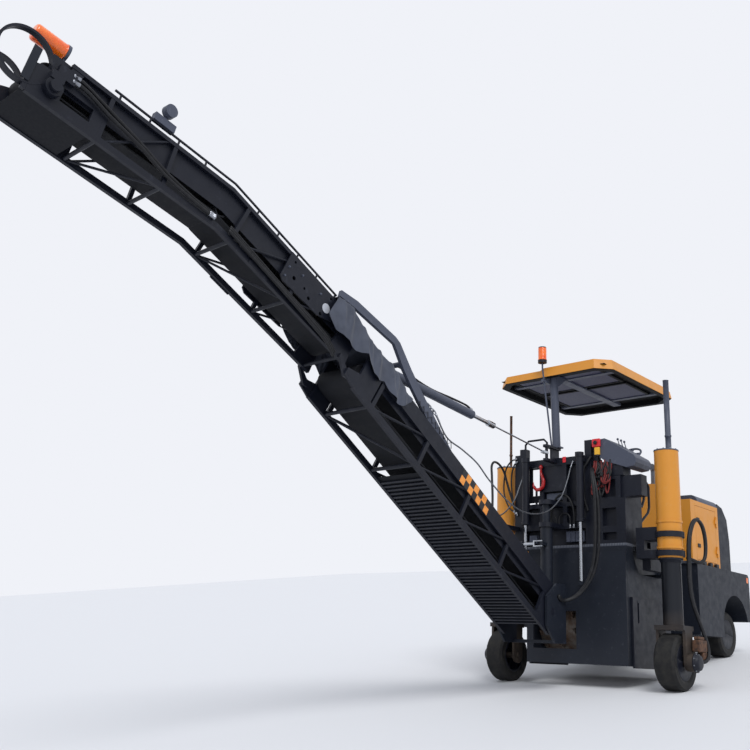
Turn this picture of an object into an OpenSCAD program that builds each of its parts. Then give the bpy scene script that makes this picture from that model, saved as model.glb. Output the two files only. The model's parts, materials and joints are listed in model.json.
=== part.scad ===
// Compact wheeled cold planer with a rear loading conveyor, parked on its four wheels.
// The machine is drawn in its own frame: x forward, y left, z up, zero at the middle of the
// front axle. machine() then pitches it nose down, because the rear legs stand extended.

/* [Running gear] */
// Front axle to rear leg, along the machine
wheelbase = 3330; // [3200:10:3500]
// How far the rear wheels stand below the front axle, across the machine's floor
leg_drop = 454; // [380:2:480]
// Middle of one front tyre to the middle of the other
front_track = 1440; // [1400:10:1480]
// Radius of every solid tyre
wheel_r = 330; // [300:5:340]
// Width of every tyre
tyre_w = 260; // [220:5:270]
// Radius of the wheel rims
rim_r = 215; // [200:1:230]
// Middle plane of the left rear wheel
left_leg_y = 880; // [860:5:920]
// Middle plane of the right rear wheel, outboard of the side
right_leg_y = -1530; // [-1580:5:-1500]
// Outer radius of a leg's yellow guide tube
leg_tube_r = 150; // [140:1:160]
// Radius of a leg's sliding tube
leg_inner_r = 120; // [105:1:125]

/* [Lower body] */
// Half width over the side bodies
body_half = 990; // [970:5:1010]
// Front end of the lower body
front_x = 600; // [560:5:640]
// Top edge of the side bodies
side_top = 930; // [900:5:950]
// Radius of the front wheel arches
arch_r = 470; // [460:2:480]
// Rear end of the right side body, at the niche for the swung-in wheel
niche_x = -1330; // [-1340:5:-1300]

/* [Drum housing] */
// Rear face of the housing
house_rear = -3500; // [-3510:5:-3490]
// Front face of the housing
house_front = -2380; // [-2400:5:-2370]
// Right face of the housing
house_right = -1030; // [-1050:5:-1020]
// Left face of the housing
house_left = 420; // [400:5:430]
// Bottom edge of the housing
house_low = -530; // [-545:5:-500]
// Thickness of the housing walls
house_wall = 40; // [30:1:50]
// Radius of the bare milling drum
drum_r = 390; // [380:5:395]
// Radius of the circle that the pick tips run on
pick_r = 485; // [480:1:490]
// Picks on each of the drum's two helices
picks_per_helix = 34; // [20:1:40]

/* [Hood] */
// Front end of the yellow hood
hood_front = -330; // [-380:5:-300]
// Half width of the hood
hood_half = 930; // [900:5:950]
// Top edge of the yellow hood sides
hood_top_z = 1860; // [1820:5:1900]
// Sheet thickness of the hood
hood_wall = 25; // [20:1:30]

/* [Canopy] */
// Underside of the canopy rim
canopy_z = 3290; // [3200:10:3350]
// Half width of the canopy
canopy_half = 900; // [850:10:950]
// Rear edge of the canopy
canopy_rear = -3650; // [-3700:10:-3600]
// Front edge of the canopy
canopy_front = -1500; // [-1600:10:-1400]

/* [Conveyor] */
// Slewing axis of the conveyor
slew_x = -3720; // [-3730:5:-3710]
// Tail pulley axis, forward of nothing and behind the housing
tail_x = -4200; // [-4220:5:-4190]
// Height of the tail pulley axis
tail_z = 70; // [60:5:90]
// Slope of the lower conveyor against the machine's floor
lower_slope = 31.4; // [29:0.1:33]
// Slope of the upper conveyor's first half
upper_slope = 25.3; // [24:0.1:27]
// Slope of the upper conveyor's second half
head_slope = 12.5; // [11:0.1:14]
// Tail pulley to the fold pin, along the conveyor
lower_len = 4300; // [4200:10:4400]
// Fold pin to the bend, along the conveyor
upper_len = 2000; // [1900:10:2100]
// Bend to the middle of the head ring
head_len = 2085; // [2000:5:2150]
// Half width over the lower frame
lower_half = 340; // [330:5:345]
// Half width over the upper frame
upper_half = 280; // [260:5:300]
// Height of the upper frame
upper_h = 580; // [560:5:600]
// Outer radius of the head ring
ring_r = 245; // [230:5:255]

/* [Hidden] */
$fn = 48;
pitch = atan(leg_drop / wheelbase);
leg_x = -wheelbase;
swing_x = -2610;
swing_y = -1160;
hub_out = tyre_w / 2 + 125;
fork_gap = 20;
fork_t = 35;
leg_tube_low = 770;
leg_tube_top = 2110;
kingpin_y = front_track / 2 - 185;
drum_x = (house_rear + house_front) / 2;
drum_z = house_low + 520;
frame_rail = 70;
lower_bay = 900;
slats = 44;
slat_step = 62;
upper_posts = [-150, -1000, -1820];
upper_tail = -175;
lower_head = -lower_len + 190;
head_posts = [-633, -1314];
fold_plate_holes = [[-1053, 364, 22], [-895, 372, 14], [-803, 323, 20], [-600, 300, 20],
    [-1120, 520, 14], [-560, 540, 14]];
low_z = -250;
top_z = 320;
fold_z = -165;
rise = 85;
scraper_x = house_rear - 5;
cowl_len = 240;
plate_pins = [-3300, -2600];
plate_pin_z = 255;
plate_lift = 250;
door_rear = -1150;
door_front = -430;
door_low = 1000;
door_high = 1790;
hinge_r = 10;

// Turns a point in the xz plane by a degrees about y, as rotate([0, a, 0]) does.
function turn(p, a) = [p[0] * cos(a) + p[1] * sin(a), p[1] * cos(a) - p[0] * sin(a)];
fold_at = [tail_x, tail_z] + turn([-lower_len, fold_z], lower_slope);
bend_at = fold_at + turn([-upper_len, rise], upper_slope);
ring_at = bend_at + turn([-head_len, upper_h / 2], head_slope);
world_rear = turn(ring_at, pitch)[0] - ring_r;
world_front = turn([front_x, side_top], pitch)[0];
off_x = -(world_rear + world_front) / 2;
off_y = -(right_leg_y - hub_out + left_leg_y + hub_out) / 2;

yellow = "#d08c32";
charcoal = "#2c303c";
black = "#171a24";
grey = "#5c616e";
chrome = "#c8ccd0";
tyre_black = "#1b1b1d";

// Puts a piece drawn in the machine's frame where the parked machine stands.
module machine() {
    translate([off_x, off_y, wheel_r]) rotate([0, pitch, 0]) children();
}

// A box from its two corners.
module box(a, b) {
    translate(a) cube(b - a);
}

// A cylinder along y from y0 to y1 at [x, z].
module bar_y(x, z, r, y0, y1) {
    translate([x, y0, z]) rotate([-90, 0, 0]) cylinder(r = r, h = y1 - y0);
}

// A round bar between two points.
module rod(a, b, r) {
    d = b - a;
    translate(a)
        rotate([0, acos(d[2] / norm(d)), atan2(d[1], d[0])])
            cylinder(r = r, h = norm(d));
}

// A round bar or hose of n sides through a list of points; it never runs along ref.
module rail(points, r, ref = [0, 1, 0], n = 12) {
    last = len(points) - 1;
    rings = [for (i = [0 : last])
        let (d = points[min(i + 1, last)] - points[max(i - 1, 0)],
            u = cross(d, ref) / norm(cross(d, ref)),
            v = cross(u, d) / norm(cross(u, d)))
        for (k = [0 : n - 1]) points[i] + r * (cos(k * 360 / n) * u + sin(k * 360 / n) * v)];
    walls = [for (i = [0 : last - 1], k = [0 : n - 1])
        [i * n + k, i * n + (k + 1) % n, (i + 1) * n + (k + 1) % n, (i + 1) * n + k]];
    polyhedron(points = rings, faces = concat(walls,
        [[for (k = [n - 1 : -1 : 0]) k], [for (k = [0 : n - 1]) last * n + k]]));
}

// A flat outline in the xz plane, from y0 to y1.
module side_plate(points, y0, y1) {
    translate([0, y1, 0]) rotate([90, 0, 0]) linear_extrude(y1 - y0) polygon(points);
}

// Chassis
module chassis_frame() {
    color(charcoal) machine() {
        for (s = [-1, 1]) {
            box([house_front, s * 350 - 50, 110], [front_x - 60, s * 350 + 50, 330]);
        }
        box([house_front, -400, 330], [niche_x - 30, 400, side_top]);
        box([niche_x - 30, -425, 110], [niche_x + 30, 425, side_top]);
        box([front_x - 170, -425, 210], [front_x, 425, side_top]);
        box([80, -425, side_top - 30], [front_x - 170, 425, side_top]);
        box([-110, -300, 55], [110, 300, 330]);
        for (s = [-1, 0, 1]) {
            difference() {
                box([front_x - 20, s * 300 - 15, 230], [front_x + 60, s * 300 + 15, 330]);
                bar_y(front_x + 25, 280, 22, s * 300 - 20, s * 300 + 20);
            }
        }
    }
}

module side_body(s, rear_x) {
    y0 = s > 0 ? 425 : -body_half;
    y1 = s > 0 ? body_half : -425;
    difference() {
        side_plate([[rear_x, -60], [0, -60], [0, 210], [front_x, 210], [front_x, side_top - 40],
            [front_x - 40, side_top], [rear_x, side_top]], y0, y1);
        bar_y(0, 100, arch_r, y0 - 1, y1 + 1);
        box([-arch_r + 28, y0 - 1, -70], [arch_r - 13, y1 + 1, 100]);
    }
}

module side_body_right() {
    color(charcoal) machine() side_body(-1, niche_x + 30);
}

module side_body_left() {
    color(charcoal) machine() difference() {
        side_body(1, -2850);
        box([-2851, 424, -61], [house_front + 20, house_left + 40, side_top + 1]);
        for (i = [0 : 2]) {
            box([-2400, body_half - 180, 60 + i * 290], [-1950, body_half + 1, 300 + i * 290]);
        }
    }
}

// Hood
module hood_shell() {
    color(yellow) machine() {
        difference() {
            box([niche_x + 30, -hood_half, side_top], [hood_front, hood_half, hood_top_z]);
            box([niche_x + 30 + hood_wall, -hood_half + hood_wall, side_top - 1],
                [hood_front + 1, hood_half - hood_wall, hood_top_z + 1]);
            for (s = [-1, 1]) {
                box([door_rear, s * hood_half - 40, door_low], [door_front, s * hood_half + 40, door_high]);
            }
        }
        for (s = [-1, 1]) {
            hinge_barrels(s, -50, -0.3);
            hinge_barrels(s, 60.3, 110);
            for (z = [1100, 1210.3, 1550, 1660.3]) {
                box([door_front, s > 0 ? hood_half - 5 : -hood_half - 2 * hinge_r, z],
                    [door_front + 30, s > 0 ? hood_half + 2 * hinge_r : -hood_half + 5, z + 49.7]);
            }
        }
        difference() {
            translate([niche_x + 30, 0, 0]) rotate([90, 0, 90]) linear_extrude(cowl_len) polygon([
                [-600, hood_top_z - 5], [-600, 2040], [-575, 2080], [-470, 2118], [-275, 2134],
                [-145, 2200], [145, 2200], [275, 2134], [470, 2118], [575, 2080], [600, 2040],
                [600, hood_top_z - 5]]);
            box([niche_x + 20, -520, 1925], [niche_x + 40, -405, 2035]);
        }
    }
}

module hood_top() {
    r = 100;
    color(grey) machine() difference() {
        translate([-1060, 0, 0]) rotate([90, 0, 90]) linear_extrude(hood_front + 1060) {
            polygon([[-hood_half, hood_top_z], [hood_half, hood_top_z],
                [hood_half - r, hood_top_z + r], [-hood_half + r, hood_top_z + r]]);
            for (s = [-1, 1]) {
                intersection() {
                    translate([s * (hood_half - r), hood_top_z]) circle(r);
                    translate([-hood_half, hood_top_z]) square([2 * hood_half, r]);
                }
            }
        }
        box([-1100, -300, hood_top_z - 1], [-1059, 300, hood_top_z + 1]);
    }
}

module nose_grille() {
    color(charcoal) machine() difference() {
        side_plate([[hood_front, side_top], [hood_front, hood_top_z + 60], [-150, hood_top_z + 20],
            [10, 1720], [70, 1400], [70, side_top]], -hood_half, hood_half);
        for (i = [0 : 9]) {
            box([20, -600, 1000 + i * 40], [80, 600, 1022 + i * 40]);
        }
    }
}

// Hinge barrels stand on the hood's side at the door's front edge.
module hinge_barrels(s, low, high) {
    for (z = [1150, 1600]) {
        translate([door_front, s * (hood_half + hinge_r), z + low]) cylinder(r = hinge_r, h = high - low);
    }
}

module hood_door(s) {
    y0 = s > 0 ? hood_half - hood_wall : -hood_half;
    box([door_rear + 5, y0, door_low + 5], [door_front - 5, y0 + hood_wall, door_high - 5]);
    hinge_barrels(s, 0, 60);
    for (z = [1150, 1600]) {
        box([door_front - 40, s > 0 ? hood_half : -hood_half - 2 * hinge_r, z],
            [door_front, s > 0 ? hood_half + 2 * hinge_r : -hood_half, z + 60]);
    }
}

module hood_door_right() {
    color(yellow) machine() hood_door(-1);
}

module hood_door_left() {
    color(yellow) machine() hood_door(1);
}

module engine_block() {
    color(grey) machine() box([-1150, -330, 330], [-400, 330, 1250]);
}

module exhaust_pipe() {
    color(grey) machine() {
        translate([-1180, -330, 2140]) cylinder(r = 48, h = 190);
        translate([-1250, -330, 2330]) rotate([90, 0, 0]) rotate_extrude(angle = 90)
            translate([70, 0]) circle(48);
    }
}

// Drum housing and what closes it
module drum_housing() {
    color(charcoal) machine() {
        difference() {
            box([house_rear, house_right, house_low], [house_front, house_left, side_top]);
            box([house_rear - 1, house_right + house_wall, house_low - 1],
                [house_front - house_wall, house_left - house_wall, drum_z + pick_r + 60]);
            bar_y(drum_x, drum_z, 60.05, house_right - 1, house_left + 1);
            side_plate([[-3180, 600], [-3327, 800], [-3327, side_top + 1], [house_front + 1, side_top + 1],
                [house_front + 1, 600]], house_right - 1, house_right + 180);
            side_plate([[-3180, 600], [-2680, -80], [house_front + 1, -80], [house_front + 1, 600]],
                house_right - 1, house_right + 12);
        }
        for (x = plate_pins) {
            bar_y(x, plate_pin_z, 20, house_right - 33, house_right + 5);
            bar_y(x, plate_pin_z, 20, house_left - 5, house_left + 33);
        }
        for (z = [600, 880]) {
            difference() {
                union() {
                    translate([swing_x, swing_y, z]) cylinder(r = 65, h = 40);
                    side_plate([[swing_x - 65, z], [swing_x - 65, z + 40], [swing_x + 65, z + 40],
                        [swing_x + 65, z]], swing_y, house_right + 185);
                }
                translate([swing_x, swing_y, z - 1]) cylinder(r = 30.05, h = 42);
            }
        }
    }
}

function pick_turn(i) = i * 360 * 2.6 / picks_per_helix;
module milling_drum() {
    half = (house_left - house_right) / 2 - house_wall - 15;
    mid = (house_left + house_right) / 2;
    color(grey) machine() translate([drum_x, mid, drum_z]) {
        bar_y(0, 0, drum_r, -half, half);
        bar_y(0, 0, 60, -half - house_wall - 10, half + house_wall + 10);
        for (s = [-1, 1]) {
            for (i = [0 : picks_per_helix - 1]) {
                translate([0, s * (18 + i * (half - 36) / (picks_per_helix - 1)), 0])
                    rotate([0, pick_turn(i) + 90 * s, 0])
                        pick();
            }
        }
    }
}

// A tool holder welded on the drum, with its carbide pick leaning into the cut.
module pick() {
    box([-38, -16, drum_r - 14], [26, 16, drum_r + 38]);
    translate([-10, 0, drum_r + 18]) rotate([0, 40, 0])
        cylinder(r1 = 15, r2 = 4, h = pick_r - drum_r - 22, $fn = 16);
}

module scraper_plate() {
    color(charcoal) machine() {
        difference() {
            box([scraper_x - house_wall, house_right, house_low], [scraper_x, house_left, 860]);
            box([scraper_x - house_wall - 1, -320, house_low + 180], [scraper_x + 1, 320, 120]);
        }
        for (y = [-440, 400]) {
            box([scraper_x - 130, y - 35, 440], [scraper_x - house_wall, y + 35, 480]);
        }
    }
    color(chrome) machine() for (y = [-440, 400]) {
        translate([scraper_x - 95, y, 480]) cylinder(r = 22, h = 1200);
    }
}

// A side plate that rides up and down on two pins of the housing.
module edge_plate(y0, y1) {
    difference() {
        side_plate([[house_rear + 60, house_low - 20], [house_front - 120, house_low - 20],
            [house_front - 20, house_low + 100], [house_front - 20, 300],
            [house_rear + 60, 300]], y0, y1);
        for (x = plate_pins) {
            box([x - 20.05, y0 - 1, plate_pin_z - plate_lift], [x + 20.05, y1 + 1, plate_pin_z]);
            bar_y(x, plate_pin_z, 20.05, y0 - 1, y1 + 1);
            bar_y(x, plate_pin_z - plate_lift, 20.05, y0 - 1, y1 + 1);
        }
    }
}

module side_plate_right() {
    color(black) machine() edge_plate(house_right - 30, house_right - 5);
}

module side_plate_left() {
    color(black) machine() edge_plate(house_left + 5, house_left + 30);
}

// Platform and tower
module platform() {
    color(grey) machine() difference() {
        box([house_rear, house_right, side_top], [niche_x + 30, body_half, side_top + 35]);
        box([house_front - 20, house_right - 1, side_top - 1], [niche_x, -425, side_top + 36]);
        box([house_rear - 1, 640, side_top - 1], [-2950, body_half + 1, side_top + 36]);
    }
}

// Two slots through the cabinet's rear wall, low and high, each [z0, z1].
cabinet_slots = [[1010, 1106], [1190, 1420], [1560, 1790]];
module tower_frame() {
    floor_z = side_top + 35;
    x0 = house_rear;
    color(black) machine() {
        for (y = [460, -560]) {
            box([x0, y, floor_z], [x0 + 100, y + 100, y > 0 ? 2330 : 2350]);
            side_plate([[x0 + 90, floor_z], [x0 + 90, floor_z + 420], [x0 + 330, floor_z]], y + 40, y + 60);
        }
        box([x0, 550, floor_z], [x0 + 60, 640, 2250]);
        box([x0, -465, 2050], [x0 + 100, 465, 2150]);
        box([x0, -640, 1180], [x0 + 100, 640, 1260]);
        box([x0, -465, 1480], [x0 + 100, 465, 1540]);
        box([x0, -180, 1255], [x0 + 60, -120, 2055]);
        box([x0, 180, 1255], [x0 + 60, 240, 2055]);
        box([x0 + 10, -125, 1700], [x0 + 40, 185, 2055]);
        difference() {
            box([x0, house_right, floor_z], [-3050, -640, 1830]);
            for (z = cabinet_slots) {
                box([x0 - 1, -900, z[0]], [x0 + 60, -705, z[1]]);
            }
            box([x0 - 1, house_right - 1, 1540], [x0 + 40, house_right + 60, 1831]);
        }
        box([x0, -645, floor_z], [x0 + 100, -555, 1560]);
        for (z = [1180, 1480]) {
            difference() {
                union() {
                    side_plate([[slew_x, z], [slew_x, z + 60], [x0 + 5, z + 60], [x0 + 5, z]], -100, 100);
                    translate([slew_x, 0, z]) cylinder(r = 100, h = 60);
                }
                translate([slew_x, 0, z - 1]) cylinder(r = 50.05, h = 62);
            }
        }
        for (z = [2080, 2270]) {
            box([slew_x, -40, z], [x0 + 100, 40, z + 30]);
            translate([slew_x, 0, z]) cylinder(r = 40, h = 30);
        }
        translate([slew_x, 0, 2090]) cylinder(r = 12, h = 190);
        box([x0 - 100, -12, 2090], [x0 + 99, 12, 2290]);
        for (y = [-440, 400]) {
            difference() {
                union() {
                    translate([scraper_x - 95, y, 1250]) cylinder(r = 50, h = 900);
                    translate([scraper_x - 95, y, 1250]) cylinder(r = 58, h = 40);
                    translate([scraper_x - 95, y, 2110]) cylinder(r = 58, h = 60);
                }
                translate([scraper_x - 95, y, 1249]) cylinder(r = 22.1, h = 860);
            }
            box([scraper_x - 95, y - 40, 2060], [x0 + 5, y + 40, 2100]);
        }
        box([slew_a[0] - 50, 560, 1180], [x0 + 5, 640, 1240]);
        box([slew_a[0] - 50, 635, 1180], [slew_a[0] + 50, 720, 1240]);
        box([slew_a[0] - 45, 680, 865], [slew_a[0] + 45, 718, 1200]);
        for (z = [860, 1010]) {
            difference() {
                box([slew_a[0] - 40, 575, z], [slew_a[0] + 40, 690, z + 30]);
                translate([slew_a[0], slew_a[1], z - 1]) cylinder(r = 15.05, h = 32);
            }
        }
    }
}

module console() {
    floor_z = side_top + 35;
    color(grey) machine() {
        translate([house_rear, 0, 0]) rotate([90, 0, 90]) linear_extrude(430)
            polygon([[-680, 2338], [-760, 2345], [-1165, 2085], [-1195, 2040], [-1195, 1985],
                [-1160, 1940], [-1060, 1930], [-760, 2040], [-680, 2100]]);
        box([house_rear + 60, -1000, 1830], [house_rear + 240, -760, 1990]);
        rod([house_rear + 430, -860, 2080], [house_rear + 500, -860, 2200], 20);
        translate([house_rear + 510, -860, 2210]) rotate([0, -40, 0]) rotate_extrude() {
            translate([150, 0]) circle(14);
        }
        translate([house_rear + 510, -860, 2210]) rotate([0, -40, 0]) {
            cube([290, 24, 16], center = true);
            cube([24, 290, 16], center = true);
        }
        for (i = [0 : 2]) {
            rod([house_rear + 100 + i * 90, -930, 2225], [house_rear + 100 + i * 90, -900, 2330], 6);
            translate([house_rear + 100 + i * 90, -900, 2335]) sphere(r = 16, $fn = 24);
        }
    }
}

module seat() {
    floor_z = side_top + 35;
    color(black) machine() {
        translate([-2700, 150, floor_z]) cylinder(r = 70, h = 320);
        box([-2950, -100, floor_z + 320], [-2450, 400, floor_z + 430]);
        box([-2950, -80, floor_z + 430], [-2840, 380, floor_z + 930]);
    }
}

module handrails() {
    floor_z = side_top + 35;
    y = body_half - 20;
    color(black) machine() {
        rail([[-2830, y, floor_z], [-2830, y, 1950], [-2780, y, 2000], [-2480, y, 2000],
            [-2430, y, 1950], [-2430, y, floor_z]], 17);
        rail([[-1930, y, floor_z], [-1930, y, 1950], [-1880, y, 2000], [-1480, y, 2000],
            [-1430, y, 1950], [-1430, y, floor_z]], 17);
        rail([[-3049.7, -990, 1284], [-3010, -990, 1284], [-2790, -990, 1440],
            [-2750, -990, 1520], [-2750, -990, 1800], [-2800, -990, 1840],
            [-2860, -990, 1800], [-2900, -990, 1600], [-2960, -990, 1500],
            [-3049.7, -990, 1500]], 17);
        rail([[house_rear + 50, 500, 2330], [house_rear + 50, 500, 2400],
            [house_rear + 50, 450, 2450], [house_rear + 50, 200, 2450],
            [house_rear + 50, 150, 2400], [house_rear + 50, 150, 2150]], 15, [1, 0, 0]);
    }
}

// Canopy and lamps
module canopy_post() {
    boom_z = canopy_z + 20;
    color(grey) machine() {
        box([house_rear, -75, 2300.3], [house_rear + 110, 75, 2320]);
        rod([-3445, 0, 2310], [-3500, 0, boom_z + 20], 55);
        box([canopy_rear + 70.3, -60, boom_z], [canopy_front - 150, 60, canopy_z + 69.7]);
        for (x = [canopy_rear + 420, canopy_front - 420]) {
            box([x - 40, -canopy_half + 90, boom_z + 10], [x + 40, canopy_half - 90, canopy_z + 69.7]);
        }
        for (s = [-1, 1]) {
            side_plate([[-3510, boom_z - 160], [-3510, boom_z + 10], [-3260, boom_z + 10]],
                s * 50 - 6, s * 50 + 6);
        }
        rod([-3470, 60, 2310], [-3700, 60, 3410], 12);
        translate([-3700, 60, 3400]) cylinder(r = 12, h = 79.7);
        box([-3712, 40, 3210], [-3560, 76, 3240]);
        box([-3570, 40, 3210], [-3540, 76, boom_z + 5]);
    }
}

// The canopy's plan between two x, its corners cut off by c, inset by e all round.
module canopy_plan(x0, x1, y0, y1, c, e) {
    polygon([[x0 + e, y0 + c], [x0 + c, y0 + e], [x1 - c, y0 + e], [x1 - e, y0 + c],
        [x1 - e, y1 - c], [x1 - c, y1 - e], [x0 + c, y1 - e], [x0 + e, y1 - c]]);
}

module canopy_roof() {
    w = canopy_half;
    color(yellow) machine() difference() {
        union() {
            hull() {
                translate([0, 0, canopy_z])
                    linear_extrude(1) canopy_plan(canopy_rear, canopy_front, -w, w, 190, 0);
                translate([0, 0, canopy_z + 105])
                    linear_extrude(1) canopy_plan(canopy_rear, canopy_front, -w, w, 200, 22);
                translate([0, 0, canopy_z + 150])
                    linear_extrude(1) canopy_plan(canopy_rear, canopy_front, -w, w, 330, 220);
            }
            hull() {
                translate([0, 0, canopy_z + 20]) linear_extrude(1)
                    canopy_plan(canopy_rear + 10, canopy_front - 10, -w + 10, 0.35 * w, 190, 0);
                translate([0, 0, canopy_z + 140]) linear_extrude(1)
                    canopy_plan(canopy_rear + 10, canopy_front - 10, -w + 10, 0.35 * w, 200, 24);
                translate([0, 0, canopy_z + 185]) linear_extrude(1)
                    canopy_plan(canopy_rear + 10, canopy_front - 10, -w + 10, 0.35 * w, 330, 220);
            }
        }
        translate([0, 0, canopy_z - 1]) linear_extrude(71)
            canopy_plan(canopy_rear + 70, canopy_front - 70, -w + 70, w - 70, 190, 0);
    }
}

module machine_lamps() {
    color("#f06020") machine() {
        translate([-3700, 60, 3480]) cylinder(r = 62, h = 40);
        translate([-3700, 60, 3520]) cylinder(r = 55, h = 190);
    }
    color(black) machine() {
        box([-3460, -1240, 1560], [-3300, house_right, 1830]);
    }
}

// Legs
module leg_tube(y, pole_r, pole_top) {
    translate([leg_x, y, 0]) {
        difference() {
            translate([0, 0, leg_tube_low]) cylinder(r = leg_tube_r, h = leg_tube_top - leg_tube_low);
            translate([0, 0, leg_tube_low + 60])
                cylinder(r = leg_inner_r + 5, h = leg_tube_top - leg_tube_low - 80);
            translate([0, 0, leg_tube_low - 1]) cylinder(r = leg_inner_r + 0.05, h = 62);
        }
        for (z = [leg_tube_low + 110, leg_tube_low + 430]) {
            difference() {
                translate([0, 0, z]) cylinder(r = leg_tube_r + 10, h = 30);
                translate([0, 0, z - 1]) cylinder(r = leg_tube_r - 5, h = 32);
            }
        }
        translate([80, 0, leg_tube_top - 10]) cylinder(r = pole_r, h = pole_top - leg_tube_top + 10);
    }
}

module left_leg_tube() {
    color(yellow) machine() {
        leg_tube(left_leg_y, 17, 2910);
        for (z = [780, 880]) {
            difference() {
                box([leg_x - 100, house_left, z], [leg_x + 100, left_leg_y, z + 40]);
                translate([leg_x, left_leg_y, z - 1]) cylinder(r = leg_tube_r - 5, h = 42);
            }
        }
    }
}

module right_leg_tube() {
    color(yellow) machine() leg_tube(right_leg_y, 35, 3070);
}

module swing_arm() {
    color(black) machine() {
        translate([swing_x, swing_y, 645]) cylinder(r = 65, h = 230);
        translate([swing_x, swing_y, 601]) cylinder(r = 30, h = 318);
        box([leg_x + 100, swing_y - 55, 645], [swing_x, swing_y + 55, 875]);
        difference() {
            union() {
                box([leg_x - 60, right_leg_y, 775], [leg_x + 160, swing_y + 55, 875]);
                box([leg_x - 60, right_leg_y, 1000], [leg_x + 160, swing_y + 55, 1160]);
                side_plate([[leg_x - 60, 780], [leg_x - 60, 1155], [leg_x + 160, 1155],
                    [leg_x + 480, 870], [leg_x + 480, 780]], swing_y - 54, swing_y + 54);
            }
            translate([leg_x, right_leg_y, 700]) cylinder(r = leg_tube_r + 0.1, h = 600);
            box([leg_x + 20, swing_y - 60, 905], [leg_x + 120, swing_y + 60, 985]);
        }
        for (z = [790, 1020]) {
            difference() {
                translate([leg_x, right_leg_y, z]) cylinder(r = leg_tube_r + 25, h = 70);
                translate([leg_x, right_leg_y, z - 1]) cylinder(r = leg_tube_r + 0.1, h = 72);
            }
        }
    }
}

// A leg's sliding tube with the fork and hub motor that carry its wheel.
module leg_slide(y, out) {
    half = tyre_w / 2 + fork_gap;
    hub_z = -leg_drop;
    bridge_z = hub_z + wheel_r + 35;
    translate([leg_x, y, 0]) {
        translate([0, 0, bridge_z + 50]) cylinder(r = leg_inner_r, h = 1500 - bridge_z);
        box([-140, -half - fork_t, bridge_z], [140, half + fork_t, bridge_z + 55]);
        for (s = [-1, 1]) {
            difference() {
                translate([0, s * (half + fork_t / 2), 0]) box([-100, -fork_t / 2, hub_z],
                    [100, fork_t / 2, bridge_z]);
                box([-200, -1000, hub_z - 200], [-300, 1000, hub_z]);
            }
            translate([0, s * (half + fork_t / 2) - fork_t / 2, hub_z]) rotate([-90, 0, 0])
                cylinder(r = 100, h = fork_t);
        }
        bar_y(0, hub_z, 40, -half - fork_t - 20, half + fork_t + 20);
        bar_y(0, hub_z, 105, out > 0 ? half + fork_t : -hub_out, out > 0 ? hub_out : -half - fork_t);
    }
}

module right_leg_slide() {
    color(black) machine() leg_slide(right_leg_y, -1);
}

module left_leg_slide() {
    color(black) machine() leg_slide(left_leg_y, 1);
}

// A solid tyre pressed on its rim, in the wheel's own plane.
module tyre() {
    rotate([90, 0, 0]) rotate_extrude() polygon([[rim_r, -tyre_w / 2 + 12],
        [rim_r + 30, -tyre_w / 2], [wheel_r - 25, -tyre_w / 2], [wheel_r, -tyre_w / 2 + 30],
        [wheel_r, tyre_w / 2 - 30], [wheel_r - 25, tyre_w / 2], [rim_r + 30, tyre_w / 2],
        [rim_r, tyre_w / 2 - 12]]);
}

// Rim with a web; inner cavities leave room for a knuckle on the side s.
module rim(bore, s) {
    difference() {
        bar_y(0, 0, rim_r, -tyre_w / 2 + 14, tyre_w / 2 - 14);
        bar_y(0, 0, rim_r - 20, s > 0 ? -30 : -tyre_w, s > 0 ? tyre_w : 30);
        bar_y(0, 0, rim_r - 45, s > 0 ? -tyre_w : 70, s > 0 ? -70 : tyre_w);
        bar_y(0, 0, bore + 0.05, -tyre_w, tyre_w);
        for (a = [0 : 45 : 315]) {
            rotate([0, a, 0]) bar_y(120, 0, 18, -tyre_w, tyre_w);
        }
    }
}

module at_rear(y) {
    machine() translate([leg_x, y, -leg_drop]) children();
}

module at_front(s) {
    machine() translate([0, s * front_track / 2, 0]) children();
}

module tyre_rear_right() {
    color(tyre_black) at_rear(right_leg_y) tyre();
}

module rim_rear_right() {
    color(black) at_rear(right_leg_y) rim(40, 1);
}

module tyre_rear_left() {
    color(tyre_black) at_rear(left_leg_y) tyre();
}

module rim_rear_left() {
    color(black) at_rear(left_leg_y) rim(40, -1);
}

module tyre_front_right() {
    color(tyre_black) at_front(-1) tyre();
}

module rim_front_right() {
    color(black) at_front(-1) rim(40, 1);
}

module tyre_front_left() {
    color(tyre_black) at_front(1) tyre();
}

module rim_front_left() {
    color(black) at_front(1) rim(40, -1);
}

// Front axle, knuckles and tie rod
module front_axle() {
    color(black) machine() {
        box([-60, -kingpin_y + 40, -50], [60, kingpin_y - 40, 55]);
        for (s = [-1, 1]) {
            difference() {
                translate([0, s * kingpin_y, -50]) cylinder(r = 60, h = 105);
                translate([0, s * kingpin_y, -51]) cylinder(r = 30.05, h = 107);
            }
        }
    }
}

module knuckle(s) {
    mirror([0, s > 0 ? 0 : 1, 0]) {
        translate([0, kingpin_y, -100]) cylinder(r = 30, h = 205);
        for (z = [-95, 60]) {
            box([-50, kingpin_y - 45, z], [50, kingpin_y + 100, z + 40]);
        }
        box([-50, kingpin_y + 70, -95], [50, kingpin_y + 100, 100]);
        bar_y(0, 0, 40, kingpin_y + 90, front_track / 2 + 60);
        box([-258, kingpin_y - 28, -95], [0, kingpin_y + 28, -60]);
        translate([-230, kingpin_y, -150]) cylinder(r = 14, h = 60);
    }
}

module knuckle_right() {
    color(black) machine() knuckle(-1);
}

module knuckle_left() {
    color(black) machine() knuckle(1);
}

module tie_rod() {
    y = kingpin_y;
    color(grey) machine() difference() {
        union() {
            bar_y(-230, -125, 18, -y + 10, y - 10);
            for (s = [-1, 1]) {
                translate([-230, s * y, -145]) cylinder(r = 32, h = 40);
            }
        }
        for (s = [-1, 1]) {
            translate([-230, s * y, -146]) cylinder(r = 14.05, h = 42);
        }
    }
}

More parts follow.
